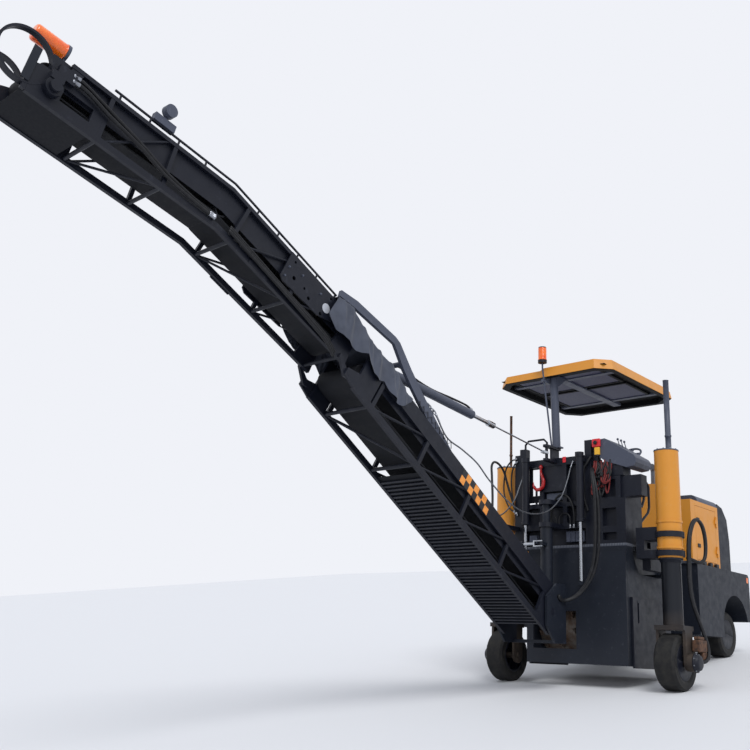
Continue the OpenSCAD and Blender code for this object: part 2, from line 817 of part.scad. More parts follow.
// Conveyor
module on_lower() {
    machine() translate([tail_x, 0, tail_z]) rotate([0, lower_slope, 0]) children();
}

module on_upper() {
    machine() translate([fold_at[0], 0, fold_at[1]]) rotate([0, upper_slope, 0]) children();
}

module on_head() {
    machine() translate([bend_at[0], 0, bend_at[1]]) rotate([0, head_slope, 0]) children();
}

module slew_bracket() {
    color(charcoal) machine() {
        translate([slew_x, 0, 340]) cylinder(r = 80, h = 839);
        translate([slew_x, 0, 1170]) cylinder(r = 50, h = 380);
        box([-3900, -70, 340], [slew_x, 70, 420]);
        box([-3960, -380, 350], [-3890, 380, 420]);
        box([-3960, -380, -300], [-3900, 380, -260]);
        translate([slew_x, 0, 930]) linear_extrude(40) polygon([[0, 24], [0, -48], [-185, -55],
            [-201, -31], [-185, -7]]);
        for (s = [-1, 1]) {
            difference() {
                side_plate([[-3890, -300], [-3890, 420], [-4100, 420], [-4330, 250],
                    [-4330, -100], [-4150, -300]], s > 0 ? 350 : -380, s > 0 ? 380 : -350);
                bar_y(tail_x, tail_z, 40.05, -400, 400);
            }
        }
    }
}

slew_a = [slew_x - 170, 620, 950];
slew_b = [slew_x - 177, -31, 950];
slew_dir = (slew_b - slew_a) / norm(slew_b - slew_a);

module slew_barrel() {
    color(black) machine() difference() {
        union() {
            rod(slew_a + slew_dir * 60, slew_a + slew_dir * 375, 40);
            translate([slew_a[0], slew_a[1], 890.3]) cylinder(r = 40, h = 119.4);
            translate([slew_a[0], slew_a[1], 855]) cylinder(r = 15, h = 190);
            rod(slew_a, slew_a + slew_dir * 70, 25);
        }
        rod(slew_a + slew_dir * 110, slew_a + slew_dir * 381, 20.05);
    }
}

module slew_rod() {
    color(chrome) machine() {
        rod(slew_a + slew_dir * 280, slew_b - slew_dir * 100, 20);
        for (z = [910, 976]) {
            box([slew_b[0] - 20, slew_b[1] - 25, z], [slew_b[0] + 20, slew_b[1] + 115, z + 14]);
        }
        box([slew_b[0] - 20, slew_b[1] + 95, 910], [slew_b[0] + 20, slew_b[1] + 115, 990]);
    }
}

// One side of the lower frame, between y0 and y1: rails, side band, posts and diagonals.
module lower_side(y0, y1) {
    mid = (y0 + y1) / 2;
    box([-lower_len + 120, y0, low_z], [120, y1, low_z + frame_rail]);
    box([-lower_len + 120, y0, top_z - 190], [120, y1, top_z]);
    box([-250, y0 + 2, low_z + 5], [115, y1 - 2, top_z - 5]);
    box([-lower_len + 125, y0 + 2, low_z + 5], [-lower_len + 400, y1 - 2, top_z - 5]);
    for (i = [0 : 3]) {
        x = -250 - (i + 1) * lower_bay;
        box([x - 25, y0 + 4, low_z + 8], [x + 25, y1 - 4, top_z - 12]);
        rod([x, mid, low_z + 40], [x + lower_bay - 30, mid, top_z - 150], 14);
    }
    skirt_y = mid > 0 ? lower_half - 46 : -lower_half + 46;
    box([-lower_len + 395, skirt_y - 4, 60], [-245, skirt_y + 4, top_z - 150]);
    for (i = [0 : 3]) {
        x = -250 - (i + 1) * lower_bay;
        box([x - 12, min(mid, skirt_y), top_z - 185], [x + 12, max(mid, skirt_y), top_z - 155]);
    }
}

module lower_frame() {
    half = lower_half;
    color(black) on_lower() {
        for (s = [-1, 1]) {
            lower_side(s > 0 ? half - 40 : -half, s > 0 ? half : -half + 40);
            bar_y(0, 0, 40, s > 0 ? half - 10 : -half - 42, s > 0 ? half + 42 : -half + 10);
        }
        for (i = [0 : 4]) {
            bar_y(-280 - i * lower_bay, low_z + 30, 22, -half + 10, half - 10);
        }
        rod([-280 - 3 * lower_bay, -half + 20, low_z + 30], [-280 - 4 * lower_bay, half - 20,
            low_z + 30], 14);
        for (i = [0 : slats - 1]) {
            box([-120 - i * slat_step, -half + 10, low_z + 4],
                [-92 - i * slat_step, half - 10, low_z + 20]);
        }
        for (s = [-1, 1]) {
            difference() {
                side_plate([[-lower_len + 130, fold_z + 120], [-lower_len - 45, fold_z + 45],
                    [-lower_len - 45, fold_z - 45], [-lower_len + 130, low_z + 3]],
                    s > 0 ? half - 25 : -half + 1, s > 0 ? half - 1 : -half + 25);
                bar_y(-lower_len, fold_z, 25.05, -400, 400);
            }
        }
    }
}

// A belt loop with its two pulleys, from x0 back to x1 at height z.
module belt_outline(x0, x1, z, r) {
    translate([x1, z - r]) square([x0 - x1, 2 * r]);
    translate([x0, z]) circle(r);
    translate([x1, z]) circle(r);
}

module lower_belt() {
    half = lower_half - 70;
    color(tyre_black) on_lower() {
        translate([0, half, 0]) rotate([90, 0, 0]) linear_extrude(2 * half) difference() {
            belt_outline(0, lower_head, 20, 115);
            belt_outline(0, lower_head, 20, 101);
        }
        for (x = [0, lower_head]) {
            bar_y(x, 20, 101, -half + 10, half - 10);
            bar_y(x, 20, 25, -lower_half + 38.3, lower_half - 38.3);
        }
    }
}

module support_arm() {
    color(grey) on_lower() {
        for (s = [-1, 1]) {
            side_plate([[-2560, top_z], [-3100, top_z], [-3500, 430], [-3720, 500], [-3990, 620],
                [-4640, 470], [-4870, 400], [-4890, 470], [-4660, 560], [-4020, 700], [-3930, 700],
                [-3620, 590], [-3340, 510], [-2600, 330]],
                s > 0 ? lower_half - 45 : -lower_half + 5, s > 0 ? lower_half - 5 : -lower_half + 45);
        }
        bar_y(-3750, 560, 30, -lower_half + 10, lower_half - 10);
    }
}

// A point of the upper frame's second half, seen from its first half.
function head_point(x, z) = [-upper_len, rise] + turn([x, z], head_slope - upper_slope);

// A bent bar along both halves of the upper frame, between heights z0 and z1.
module bent_bar(x0, x1, z0, z1, y0, y1) {
    m = tan((upper_slope - head_slope) / 2);
    side_plate([[x0, rise + z0], [-upper_len - z0 * m, rise + z0], head_point(x1, z0),
        head_point(x1, z1), [-upper_len - z1 * m, rise + z1], [x0, rise + z1]], y0, y1);
}

module upper_side(y0, y1, skirt_y) {
    mid = (y0 + y1) / 2;
    end_x = -head_len + 100;
    rail_z = upper_h - 75;
    rail_end = -head_len + 360;
    bent_bar(-60, end_x, 0, frame_rail - 10, y0, y1);
    bent_bar(-60, rail_end, rail_z - 40, rail_z, y0, y1);
    bent_bar(-500, rail_end + 400, upper_h - 22, upper_h - 6, mid - 8, mid + 8);
    bent_bar(-100, end_x + 100, 230, rail_z - 10, skirt_y - 4, skirt_y + 4);
    for (x = upper_posts) {
        box([x - 20, y0 + 2, rise + 5], [x + 20, y1 - 2, rise + rail_z - 5]);
        box([x - 10, min(mid, skirt_y), rise + 380], [x + 10, max(mid, skirt_y), rise + 420]);
    }
    for (x = [-520, -820, -1120, -1420, -1720]) {
        box([x - 8, mid - 7, rise + rail_z - 5], [x + 8, mid + 7, rise + upper_h - 8]);
    }
    on_head_inner() {
        for (x = head_posts) {
            box([x - 20, y0 + 2, 5], [x + 20, y1 - 2, rail_z - 5]);
            box([x - 10, min(mid, skirt_y), 380], [x + 10, max(mid, skirt_y), 420]);
        }
        for (x = [-300, -620, -940, -1260]) {
            box([x - 8, mid - 7, rail_z - 5], [x + 8, mid + 7, upper_h - 8]);
        }
        difference() {
            side_plate([[-head_len + 60, 8], [-head_len + 60, 270], [-head_len + 150, 310],
                [head_posts[1] + 15, 310], [head_posts[1] + 15, 8]], y0 + 3, y1 - 3);
            box([head_posts[1] - 400, -400, 116], [head_posts[1] - 120, 400, 246]);
        }
        side_plate([[rail_end + 5, 300], [rail_end + 5, rail_z - 5], [rail_end + 130, rail_z - 5],
            [rail_end + 60, 300]], y0 + 4, y1 - 4);
        rod([head_posts[1] + 50, mid, 45], [head_posts[0] - 70, mid, rail_z - 25], 12);
    }
    for (i = [0 : 1]) {
        rod([upper_posts[i + 1], mid, rise + 30], [upper_posts[i] - 20, mid, rise + rail_z - 20], 12);
    }
}

module on_head_inner() {
    translate([-upper_len, 0, rise]) rotate([0, head_slope - upper_slope, 0]) children();
}

module upper_frame() {
    half = upper_half;
    color(black) on_upper() {
        for (s = [-1, 1]) {
            upper_side(s > 0 ? half - 40 : -half, s > 0 ? half : -half + 40, s * (half - 46));
            side_plate([[35, 32], [35, -32], [-30, -45], [-180, rise + 10], [-180, rise + 50],
                [-30, 45]], s > 0 ? lower_half - 60 : -lower_half + 30,
                s > 0 ? lower_half - 30 : -lower_half + 60);
            box([-170, s > 0 ? half - 20 : -lower_half + 50, rise + 10],
                [-100, s > 0 ? lower_half - 50 : -half + 20, rise + 50]);
            difference() {
                side_plate([[-440, rise + upper_h - 79], [-440, 335], [-617, 262], [-1154, 238],
                    [-1205, 275], [-1205, rise + upper_h - 79]],
                    s > 0 ? half - 5 : -half - 10, s > 0 ? half + 10 : -half + 5);
                for (p = fold_plate_holes) {
                    bar_y(p[0], p[1], p[2], -400, 400);
                }
            }
            side_plate([[-60, rise + 3], [-60, rise + upper_h - 80], [-250, rise + upper_h - 80],
                [-330, rise + 50], [-330, rise + 3]], s > 0 ? half - 38 : -half + 2,
                s > 0 ? half - 2 : -half + 38);
            side_plate([[-1300, rise - 8], [-1300, rise + 68], [-1560, rise + 68], [-1560, rise - 8]],
                s > 0 ? half - 5 : -half - 8, s > 0 ? half + 8 : -half + 5);
            bar_y(0, 0, 25, s > 0 ? half + 1 : -lower_half, s > 0 ? lower_half : -half - 1);
            on_head_inner() translate([-head_len, s > 0 ? half - 1 : -half + 59, upper_h / 2])
                rotate([90, 0, 0]) difference() {
                    cylinder(r = ring_r, h = 58);
                    translate([0, 0, -1]) cylinder(r = ring_r - 22, h = 60);
                }
        }
        for (x = upper_posts) {
            bar_y(x, rise + 28, 20, -half + 10, half - 10);
            bar_y(x, rise + upper_h - 95, 14, -half + 10, half - 10);
        }
        on_head_inner() for (x = head_posts) {
            bar_y(x, 28, 20, -half + 10, half - 10);
            bar_y(x, upper_h - 95, 14, -half + 10, half - 10);
        }
        on_head_inner() {
            rod([head_posts[0], -half + 20, 28], [head_posts[1], half - 20, 28], 12);
            box([-head_len + 285, -half + 45, upper_h - 115], [-head_len + 385, half - 45, upper_h - 85]);
            rod([-head_len + 275, -half + 1, 154], [-head_len + 275, -half - 60, 154], 78);
            rod([-head_len + 275, -half - 55, 154], [-head_len + 275, -half - 95, 154], 50);
            box([-head_len + 215, -half - 70, 210], [-head_len + 330, -half + 10, 290]);
            box([-head_len + 260, -half - 40, 285], [-head_len + 420, -half + 20, 400]);
        }
        rod([upper_posts[1], -half + 20, rise + 28], [upper_posts[2], half - 20, rise + 28], 12);
    }
}

module upper_belt() {
    half = upper_half - 60;
    color(tyre_black) {
        on_upper() translate([0, half, 0]) rotate([90, 0, 0]) linear_extrude(2 * half)
            difference() {
                belt_outline(upper_tail, -upper_len, rise + 280, 115);
                belt_outline(upper_tail, -upper_len, rise + 280, 101);
            }
        on_head() translate([0, half, 0]) rotate([90, 0, 0]) linear_extrude(2 * half)
            difference() {
                belt_outline(0, -head_len + 240, 290, 115);
                belt_outline(0, -head_len + 240, 290, 101);
            }
        on_head() bar_y(-head_len + 240, 290, 101, -half + 10, half - 10);
        on_head() bar_y(-head_len + 240, 290, 25, -upper_half + 59.3, upper_half - 59.3);
        on_upper() bar_y(upper_tail, rise + 280, 101, -half + 10, half - 10);
        on_upper() bar_y(upper_tail, rise + 280, 25, -upper_half + 50.3, upper_half - 50.3);
    }
}

module head_lamps() {
    y = -140;
    z = upper_h + 56;
    color("#f06020") on_head() {
        translate([-head_len + 293, y, z]) rotate([0, -92, 0]) rotate_extrude()
            polygon([[0, 0], [74, 0], [74, 240], [66, 266], [44, 280], [0, 284]]);
    }
    color(grey) on_head() {
        translate([-head_len + 293, y, z]) rotate([0, -92, 0]) translate([0, 0, -27])
            cylinder(r = 82, h = 26.7);
        box([-head_len + 300, y - 30, upper_h - 84.7], [-head_len + 318, y + 30, z]);
        box([-head_len + 300, y - 30, upper_h - 84.7], [-head_len + 370, y + 30, upper_h - 72]);
    }
    color(grey) on_head() {
        box([-925, -upper_half, upper_h - 5.7], [-700, -upper_half + 60, upper_h + 70]);
        translate([-809, -upper_half + 30, upper_h + 60]) cylinder(r = 14, h = 60);
        translate([-809, -upper_half + 35, upper_h + 156]) rotate([90, 0, 0])
            cylinder(r = 62, h = 70);
    }
}

hoist_pin = [tail_x, tail_z] + turn([-3750, 560], lower_slope);
hoist_eye = [slew_x, 2190];
module hoist_barrel() {
    a = [hoist_pin[0], 0, hoist_pin[1]];
    b = [hoist_eye[0], 0, hoist_eye[1]];
    d = (b - a) / norm(b - a);
    color(grey) machine() difference() {
        union() {
            rod(a + d * 40, a + d * 1700, 55);
            translate([a[0], -45, a[2]]) rotate([-90, 0, 0]) cylinder(r = 60, h = 90);
        }
        bar_y(a[0], a[2], 30.05, -50, 50);
        rod(a + d * 300, a + d * 1710, 25);
    }
}

module hoist_rod() {
    a = [hoist_pin[0], 0, hoist_pin[1]];
    b = [hoist_eye[0], 0, hoist_eye[1]];
    d = (b - a) / norm(b - a);
    color(chrome) machine() {
        rod(a + d * 1100, a + d * 2050, 24.9);
        rod(a + d * 2040, a + d * 2160, 40);
        rod(a + d * 2150, b - d * 70, 10);
        for (s = [-1, 1]) {
            translate([b[0] - 80, s > 0 ? 18 : -28, b[2] - 15]) cube([105, 10, 30]);
        }
        translate([b[0] - 90, -28, b[2] - 15]) cube([30, 56, 30]);
    }
}

module red_hook() {
    color("#b01818") machine() {
        box([house_rear - 48, 182, 2050], [house_rear, 218, 2070]);
        translate([house_rear - 30, 200, 1930]) cylinder(r = 18, h = 130);
        translate([house_rear - 30, 200, 1870]) rotate([90, 90, 90]) rotate_extrude(angle = 270)
            translate([60, 0]) circle(18);
    }
}

chassis_frame();
side_body_right();
side_body_left();
hood_shell();
hood_top();
nose_grille();
engine_block();
exhaust_pipe();
drum_housing();
platform();
tower_frame();
console();
seat();
handrails();
canopy_post();
canopy_roof();
machine_lamps();
left_leg_tube();
milling_drum();
scraper_plate();
side_plate_right();
side_plate_left();
swing_arm();
right_leg_tube();
right_leg_slide();
left_leg_slide();
tyre_rear_right();
rim_rear_right();
tyre_rear_left();
rim_rear_left();
front_axle();
knuckle_right();
knuckle_left();
tie_rod();
tyre_front_right();
rim_front_right();
tyre_front_left();
rim_front_left();
slew_bracket();
lower_frame();
lower_belt();
support_arm();
upper_frame();
upper_belt();
head_lamps();
hoist_barrel();
hoist_rod();
slew_barrel();
slew_rod();
hood_door_right();
hood_door_left();
red_hook();
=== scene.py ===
"""Looks of a compact wheeled cold planer with a rear loading conveyor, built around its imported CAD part.

Places are in millimetres of the machine's own frame: x forward, y left and z up from the middle of the
front axle. The machine stands nose down, because its rear legs are run out, so machine() turns its places
into metres of the part's frame. The radii of hoses and ropes are in metres, as the paths are.
"""
import json
import math

import bpy
import numpy as np
from mathutils import Matrix


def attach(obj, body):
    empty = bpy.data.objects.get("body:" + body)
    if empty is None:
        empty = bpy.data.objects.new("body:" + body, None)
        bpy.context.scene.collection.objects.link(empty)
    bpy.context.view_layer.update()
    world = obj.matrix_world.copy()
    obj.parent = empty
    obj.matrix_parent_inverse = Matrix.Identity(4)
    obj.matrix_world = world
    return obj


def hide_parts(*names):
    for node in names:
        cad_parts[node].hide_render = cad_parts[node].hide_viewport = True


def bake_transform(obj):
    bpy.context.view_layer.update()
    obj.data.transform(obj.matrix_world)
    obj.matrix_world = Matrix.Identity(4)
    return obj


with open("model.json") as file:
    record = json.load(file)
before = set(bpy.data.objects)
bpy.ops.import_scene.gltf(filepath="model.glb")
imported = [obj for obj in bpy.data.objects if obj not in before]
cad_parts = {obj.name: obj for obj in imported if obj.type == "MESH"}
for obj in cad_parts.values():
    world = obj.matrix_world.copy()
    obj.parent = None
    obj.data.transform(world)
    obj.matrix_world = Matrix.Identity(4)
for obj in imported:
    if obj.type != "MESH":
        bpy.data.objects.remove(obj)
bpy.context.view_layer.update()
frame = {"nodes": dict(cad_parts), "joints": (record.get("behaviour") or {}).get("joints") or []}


# Painted steel: rolled plate and tube, blasted, primed and sprayed with machine enamel. It is semi
# gloss with a faint orange peel, a little uneven in tone, and dull with dust on what faces up.
def linear(colour):
    """An sRGB hex colour as linear red, green, blue and alpha, by the sRGB transfer curve."""
    v = np.array([int(colour[i:i + 2], 16) for i in (1, 3, 5)]) / 255
    v = np.where(v <= 0.04045, v / 12.92, ((v + 0.055) / 1.055) ** 2.4)
    return (*v.tolist(), 1.0)


def add(tree, kind, inputs=(), **settings):
    """Adds one node, sets its attributes, and gives each named input a value, a hex colour or a link."""
    n = tree.nodes.new(kind)
    for key, value in settings.items():
        setattr(n, key, value)
    for key, value in dict(inputs).items():
        if isinstance(value, bpy.types.NodeSocket):
            tree.links.new(value, n.inputs[key])
        else:
            n.inputs[key].default_value = linear(value) if isinstance(value, str) else value
    return n


def new_material(name, **sockets):
    """A material with its node tree, its Principled shader and the place on the piece that patterns read. The
    shader's sockets take the values given."""
    m = bpy.data.materials.new(name)
    m.use_nodes = True
    shader = m.node_tree.nodes["Principled BSDF"]
    for key, value in sockets.items():
        shader.inputs[key.replace("_", " ")].default_value = value
    return m, m.node_tree, shader, add(m.node_tree, "ShaderNodeTexCoord").outputs["Object"]


def noise(tree, spot, size_mm, detail=4.0, stretch=(1, 1, 1)):
    """Noise whose blobs are about size_mm across, two to a cell, drawn out along an axis where its stretch is
    above 1."""
    if stretch != (1, 1, 1):
        shrink = [1 / k for k in stretch]
        spot = add(tree, "ShaderNodeMapping", {"Vector": spot, "Scale": shrink}).outputs["Vector"]
    return add(tree, "ShaderNodeTexNoise", {"Vector": spot, "Scale": 1000 / (2 * size_mm),
                                            "Detail": detail, "Roughness": 0.62}).outputs["Fac"]


def between(tree, pattern, span, least, most):
    """A value that goes from least to most while the pattern runs over its span, and is held beyond it."""
    return add(tree, "ShaderNodeMapRange", {"Value": pattern, "From Min": span[0], "From Max": span[1],
                                            "To Min": least, "To Max": most}).outputs["Result"]


def two_tone(tree, share, first, second):
    """The colour (1 - share) first + share second."""
    return add(tree, "ShaderNodeMix", {0: share, 6: first, 7: second}, data_type="RGBA").outputs[2]


def combined(tree, first, second, operation="MULTIPLY"):
    """The product of two values, or what another operation makes of them."""
    return add(tree, "ShaderNodeMath", {0: first, 1: second}, operation=operation).outputs["Value"]


def bands(tree, spot, pitch_mm, direction, **inputs):
    """Soft ridges at that pitch along an axis. At scale 1 a wave texture repeats every 100 pi mm, and every
    200 pi mm where its bands run diagonally."""
    repeat_mm = (200 if direction == "DIAGONAL" else 100) * math.pi
    return add(tree, "ShaderNodeTexWave", {"Vector": spot, "Scale": repeat_mm / pitch_mm, **inputs},
               bands_direction=direction).outputs["Fac"]


def finish(tree, shader, colour=None, roughness=None, height=None, depth_mm=1.0, strength=0.5):
    """Links the patterns of colour and roughness to the shader, and bumps it by a height depth_mm deep."""
    if height is not None:
        bump = add(tree, "ShaderNodeBump", {"Height": height, "Strength": strength,
                                            "Distance": depth_mm / 1000})
        tree.links.new(bump.outputs["Normal"], shader.inputs["Normal"])
    for name, pattern in (("Base Color", colour), ("Roughness", roughness)):
        if pattern is not None:
            tree.links.new(pattern, shader.inputs[name])


def enamel(name, colour, worn, dust, roughness, dust_share=0.3, gloss=0.4):
    """Tone drifts between two hexes by wide noise, rubbed specks show the dust's tone, and dust gathers where
    the normal points up; the dust's patches are duller."""
    drift_mm, rub_mm, dust_mm, peel_mm = 230, 34, 55, 4
    m, tree, shader, spot = new_material(name, IOR=1.5, Specular_IOR_Level=gloss)
    tone = two_tone(tree, noise(tree, spot, drift_mm), colour, worn)
    rubbed = between(tree, noise(tree, spot, rub_mm, 6.0), (0.6, 0.74), 0, 0.3)
    tone = two_tone(tree, rubbed, tone, dust)
    normal = add(tree, "ShaderNodeNewGeometry").outputs["Normal"]
    tilt = add(tree, "ShaderNodeSeparateXYZ", {"Vector": normal}).outputs["Z"]
    facing = between(tree, tilt, (0.3, 1.0), 0, dust_share)
    patch = noise(tree, spot, dust_mm, 6.0)
    share = combined(tree, facing, patch)
    finish(tree, shader, two_tone(tree, share, tone, dust),
           between(tree, patch, (0.3, 0.7), roughness - 0.06, roughness + 0.14),
           noise(tree, spot, peel_mm, 2.0), 0.4, 0.12)
    return m


def dress(material, *nodes):
    """Gives CAD nodes a finish in place of the plain one from the part."""
    for name in nodes:
        for slot in frame["nodes"][name].material_slots:
            slot.material = material


black_enamel = enamel("black_machine_enamel", "#0c0f18", "#131724", "#3d414c", 0.44, 0.22, 0.3)
charcoal_enamel = enamel("charcoal_machine_enamel", "#161a23", "#1d222c", "#50535c", 0.44, 0.2, 0.26)
grey_enamel = enamel("grey_machine_enamel", "#3f4452", "#4a4f5e", "#7d808a", 0.48, 0.25, 0.4)
yellow_enamel = enamel("yellow_machine_enamel", "#d48e30", "#c98427", "#c0965a", 0.36, 0.2, 0.45)
dress(charcoal_enamel, "chassis_frame", "side_body_right", "side_body_left", "nose_grille", "drum_housing",
      "scraper_plate", "slew_bracket")
dress(grey_enamel, "hood_top", "engine_block", "canopy_post", "console", "support_arm", "head_lamps",
      "hoist_barrel", "tie_rod")
dress(yellow_enamel, "hood_shell", "canopy_roof", "left_leg_tube", "right_leg_tube", "hood_door_right",
      "hood_door_left")
dress(black_enamel, "tower_frame", "handrails", "machine_lamps", "side_plate_right", "side_plate_left",
      "swing_arm", "rim_rear_right", "rim_rear_left", "front_axle", "knuckle_right", "knuckle_left",
      "rim_front_right", "rim_front_left", "lower_frame", "upper_frame", "slew_barrel")

# Platform: hot rolled tread plate under grey enamel, welded down on its frame. Its raised lugs are rubbed
# bright by boots.
LUG_PITCH = 22.44
tread_plate, tree, shader, spot = new_material("platform_tread_plate", IOR=1.5, Specular_IOR_Level=0.4)
lugs = combined(tree, *(bands(tree, spot, LUG_PITCH, axis) for axis in "XY"))
lugs = between(tree, lugs, (0.45, 0.7), 0, 1)
finish(tree, shader, two_tone(tree, lugs, "#3a3e49", "#6b6f78"), between(tree, lugs, (0, 1), 0.6, 0.4),
       lugs, 1.5)
dress(tread_plate, "platform")

# Leg tubes: turned and greased steel that runs in the yellow sleeves, dark where wiped and browned by
# dust and old grease lower down.
GREASE_LOW, GREASE_HIGH = 0.55, 0.95  # metres over the ground
leg_steel, tree, shader, spot = new_material("greased_leg_steel", Metallic=0.5)
height = add(tree, "ShaderNodeSeparateXYZ", {"Vector": spot}).outputs["Z"]
low_down = between(tree, height, (GREASE_LOW, GREASE_HIGH), 1, 0)
grime = combined(tree, low_down, noise(tree, spot, 60, 6.0))
finish(tree, shader, two_tone(tree, grime, "#171a21", "#5c5045"), between(tree, grime, (0, 0.6), 0.38, 0.7),
       noise(tree, spot, 12, 4.0, (1, 1, 5)), 0.4, 0.25)
dress(leg_steel, "right_leg_slide", "left_leg_slide")


# Solid tyres: carbon black rubber moulded on the rims in one piece. They are scuffed dull on the tread and
# pale with fine dust.
def mottled(name, tones, size_mm, detail, roughness, span=(0.35, 0.7), most=1.0, dull_span=(0.3, 0.7),
            pits=None, **sockets):
    """Two hexes in blobs of noise of that size: the noise's span brings in the second, up to most of it, and
    its dull_span takes the roughness from the first value to the second. Pits are a noise of their own: mm
    across, detail, mm deep and strength."""
    m, tree, shader, spot = new_material(name, **sockets)
    blobs = noise(tree, spot, size_mm, detail)
    finish(tree, shader, two_tone(tree, between(tree, blobs, span, 0, most), *tones),
           between(tree, blobs, dull_span, *roughness))
    if pits:
        finish(tree, shader, None, None, noise(tree, spot, *pits[:2]), *pits[2:])
    return m


TREAD_SPAN = (0.4, 0.75)
tyre_rubber = mottled("moulded_tyre_rubber", ("#151517", "#46443f"), 45, 6.0, (0.62, 0.86), TREAD_SPAN, 0.45,
                      TREAD_SPAN, (7, 5.0, 1.2, 0.35), IOR=1.52, Specular_IOR_Level=0.25)
dress(tyre_rubber, "tyre_rear_right", "tyre_rear_left", "tyre_front_right", "tyre_front_left")

# Conveyor belts: black rubber over fabric, vulcanised to a closed loop, with moulded ribs across. They are
# dull, and grey where crumbs have rubbed.
RIB_PITCH = 123.2
belt_rubber, tree, shader, spot = new_material("conveyor_belt_rubber", IOR=1.52, Specular_IOR_Level=0.25)
ribs = bands(tree, spot, RIB_PITCH, "X", Distortion=1.5, Detail=1.0)
grit = noise(tree, spot, 40, 6.0)
finish(tree, shader, two_tone(tree, between(tree, grit, (0.4, 0.8), 0, 0.5), "#0b0d13", "#23252b"),
       between(tree, grit, (0.3, 0.7), 0.6, 0.82), ribs, 4)
dress(belt_rubber, "lower_belt", "upper_belt")

# Chrome rods: ground steel bar with hard chrome, bright, and dimmed a little in patches by the film of oil
# that the wipers leave.
chrome, tree, shader, spot = new_material("hard_chrome_rod", Base_Color=linear("#b6bac0"), Metallic=1.0)
finish(tree, shader, roughness=between(tree, noise(tree, spot, 60, 3.0), (0.3, 0.7), 0.14, 0.24))
dress(chrome, "hoist_rod", "slew_rod")

# Milling drum: a welded steel tube with rows of holders and carbide picks, dull, scored bright by the road
# and browned by heat.
drum_steel = mottled("welded_drum_steel", ("#6f6a64", "#5a3f2c"), 70, 6.0, (0.42, 0.8),
                     pits=(8, 5.0, 1.0, 0.4), Metallic=0.7)
dress(drum_steel, "milling_drum")

# Exhaust: rolled steel tube, bent and slipped over the muffler's outlet. Heat has tinted it grey, with a
# faint brown bloom.
exhaust_steel = mottled("heat_tinted_tube", ("#6a6e76", "#6b5544"), 50, 5.0, (0.4, 0.65), (0.45, 0.75), 0.6,
                        Metallic=0.6)
dress(exhaust_steel, "exhaust_pipe")

# Crane hook's paint: red gloss enamel, brushed on the forged steel in one coat and chipped through in small
# flakes. The forged hook further down wears it too.
CHIP_SPAN = (0.66, 0.7)
red_enamel = mottled("red_hook_enamel", ("#b3161a", "#3c2320"), 14, 6.0, (0.3, 0.6), CHIP_SPAN, 1.0,
                     CHIP_SPAN, IOR=1.5, Coat_Weight=0.3, Coat_Roughness=0.12)
dress(red_enamel, "red_hook")


# Hydraulic hoses: synthetic rubber over wire braid, matt black, swept as round tubes along smooth routes
# and pressed into steel ferrules. What is clipped along a frame rides on it.
def route(points, step=0.03):
    """Catmull-Rom curve through the points, resampled at equal steps: p(t) = cubic of four neighbours."""
    p = np.asarray(points, float)
    q = np.vstack([2 * p[0] - p[1], p, 2 * p[-1] - p[-2]])
    t = np.linspace(0, 1, 24, endpoint=False)[None, :, None]
    a, b, c, d = (q[k:len(q) - 3 + k, None] for k in range(4))
    curve = 0.5 * (2 * b + (c - a) * t + (2 * a - 5 * b + 4 * c - d) * t ** 2
                   + (3 * b - a - 3 * c + d) * t ** 3)
    curve = np.vstack([curve.reshape(-1, 3), p[-1]])
    run = np.append(0, np.cumsum(np.linalg.norm(np.diff(curve, axis=0), axis=1)))
    at = np.linspace(0, run[-1], max(3, int(run[-1] / step) + 1))
    return np.stack([np.interp(at, run, curve[:, k]) for k in range(3)], 1)


def new_piece(name, verts, faces, material, body, smooth=True):
    """One mesh object of its own, with its finish, riding on a body."""
    mesh = bpy.data.meshes.new(name)
    mesh.from_pydata(np.asarray(verts, float).tolist(), [], faces)
    mesh.materials.append(material)
    mesh.polygons.foreach_set("use_smooth", np.full(len(mesh.polygons), smooth))
    mesh.update()
    piece = bpy.data.objects.new(name, mesh)
    bpy.context.collection.objects.link(piece)
    if body:
        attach(piece, body)
    return piece


def grid_faces(rows, cols, wrap=False):
    """Quads of a grid: (i, j), (i, j+1), (i+1, j+1), (i+1, j), with the last column joined on if wrapped."""
    i, j = np.meshgrid(np.arange(rows - 1), np.arange(cols if wrap else cols - 1), indexing="ij")
    k = (j + 1) % cols
    quads = np.stack([i * cols + j, i * cols + k, (i + 1) * cols + k, (i + 1) * cols + j], -1)
    return quads.reshape(-1, 4)


def tube_rings(path, radius, sides):
    """Circles square to the path: p + r (cos a u + sin a v), u turned on with the path's bending."""
    ahead = np.gradient(path, axis=0)
    ahead /= np.linalg.norm(ahead, axis=1, keepdims=True)
    u = np.empty_like(path)
    askew = [0.31, 0.17, 0.94]  # no bar starts along it
    u[0] = np.cross(ahead[0], askew)
    for i in range(1, len(path)):
        u[i] = u[i - 1] - ahead[i] * (u[i - 1] @ ahead[i])
    u /= np.linalg.norm(u, axis=1, keepdims=True)
    v = np.cross(ahead, u)
    a = np.linspace(0, 2 * math.pi, sides, endpoint=False)
    r = np.broadcast_to(radius, len(path))[:, None, None]
    across, over = np.cos(a)[None, :, None] * u[:, None], np.sin(a)[None, :, None] * v[:, None]
    return path[:, None] + r * (across + over)


def tubes(name, runs, material, body, sides=12, smooth=True):
    """Round bars in one object, each a path and its radius or radii, closed by flat ends."""
    verts, faces, base = [], [], 0
    for path, radius in runs:
        rings = tube_rings(np.asarray(path, float), radius, sides)
        n = len(rings)
        verts.append(rings.reshape(-1, 3))
        faces += (grid_faces(n, sides, wrap=True)[:, ::-1] + base).tolist()
        near_end = base + np.arange(sides)
        faces += [near_end.tolist(), (near_end[::-1] + (n - 1) * sides).tolist()]
        base += n * sides
    return new_piece(name, np.vstack(verts), faces, material, body, smooth)


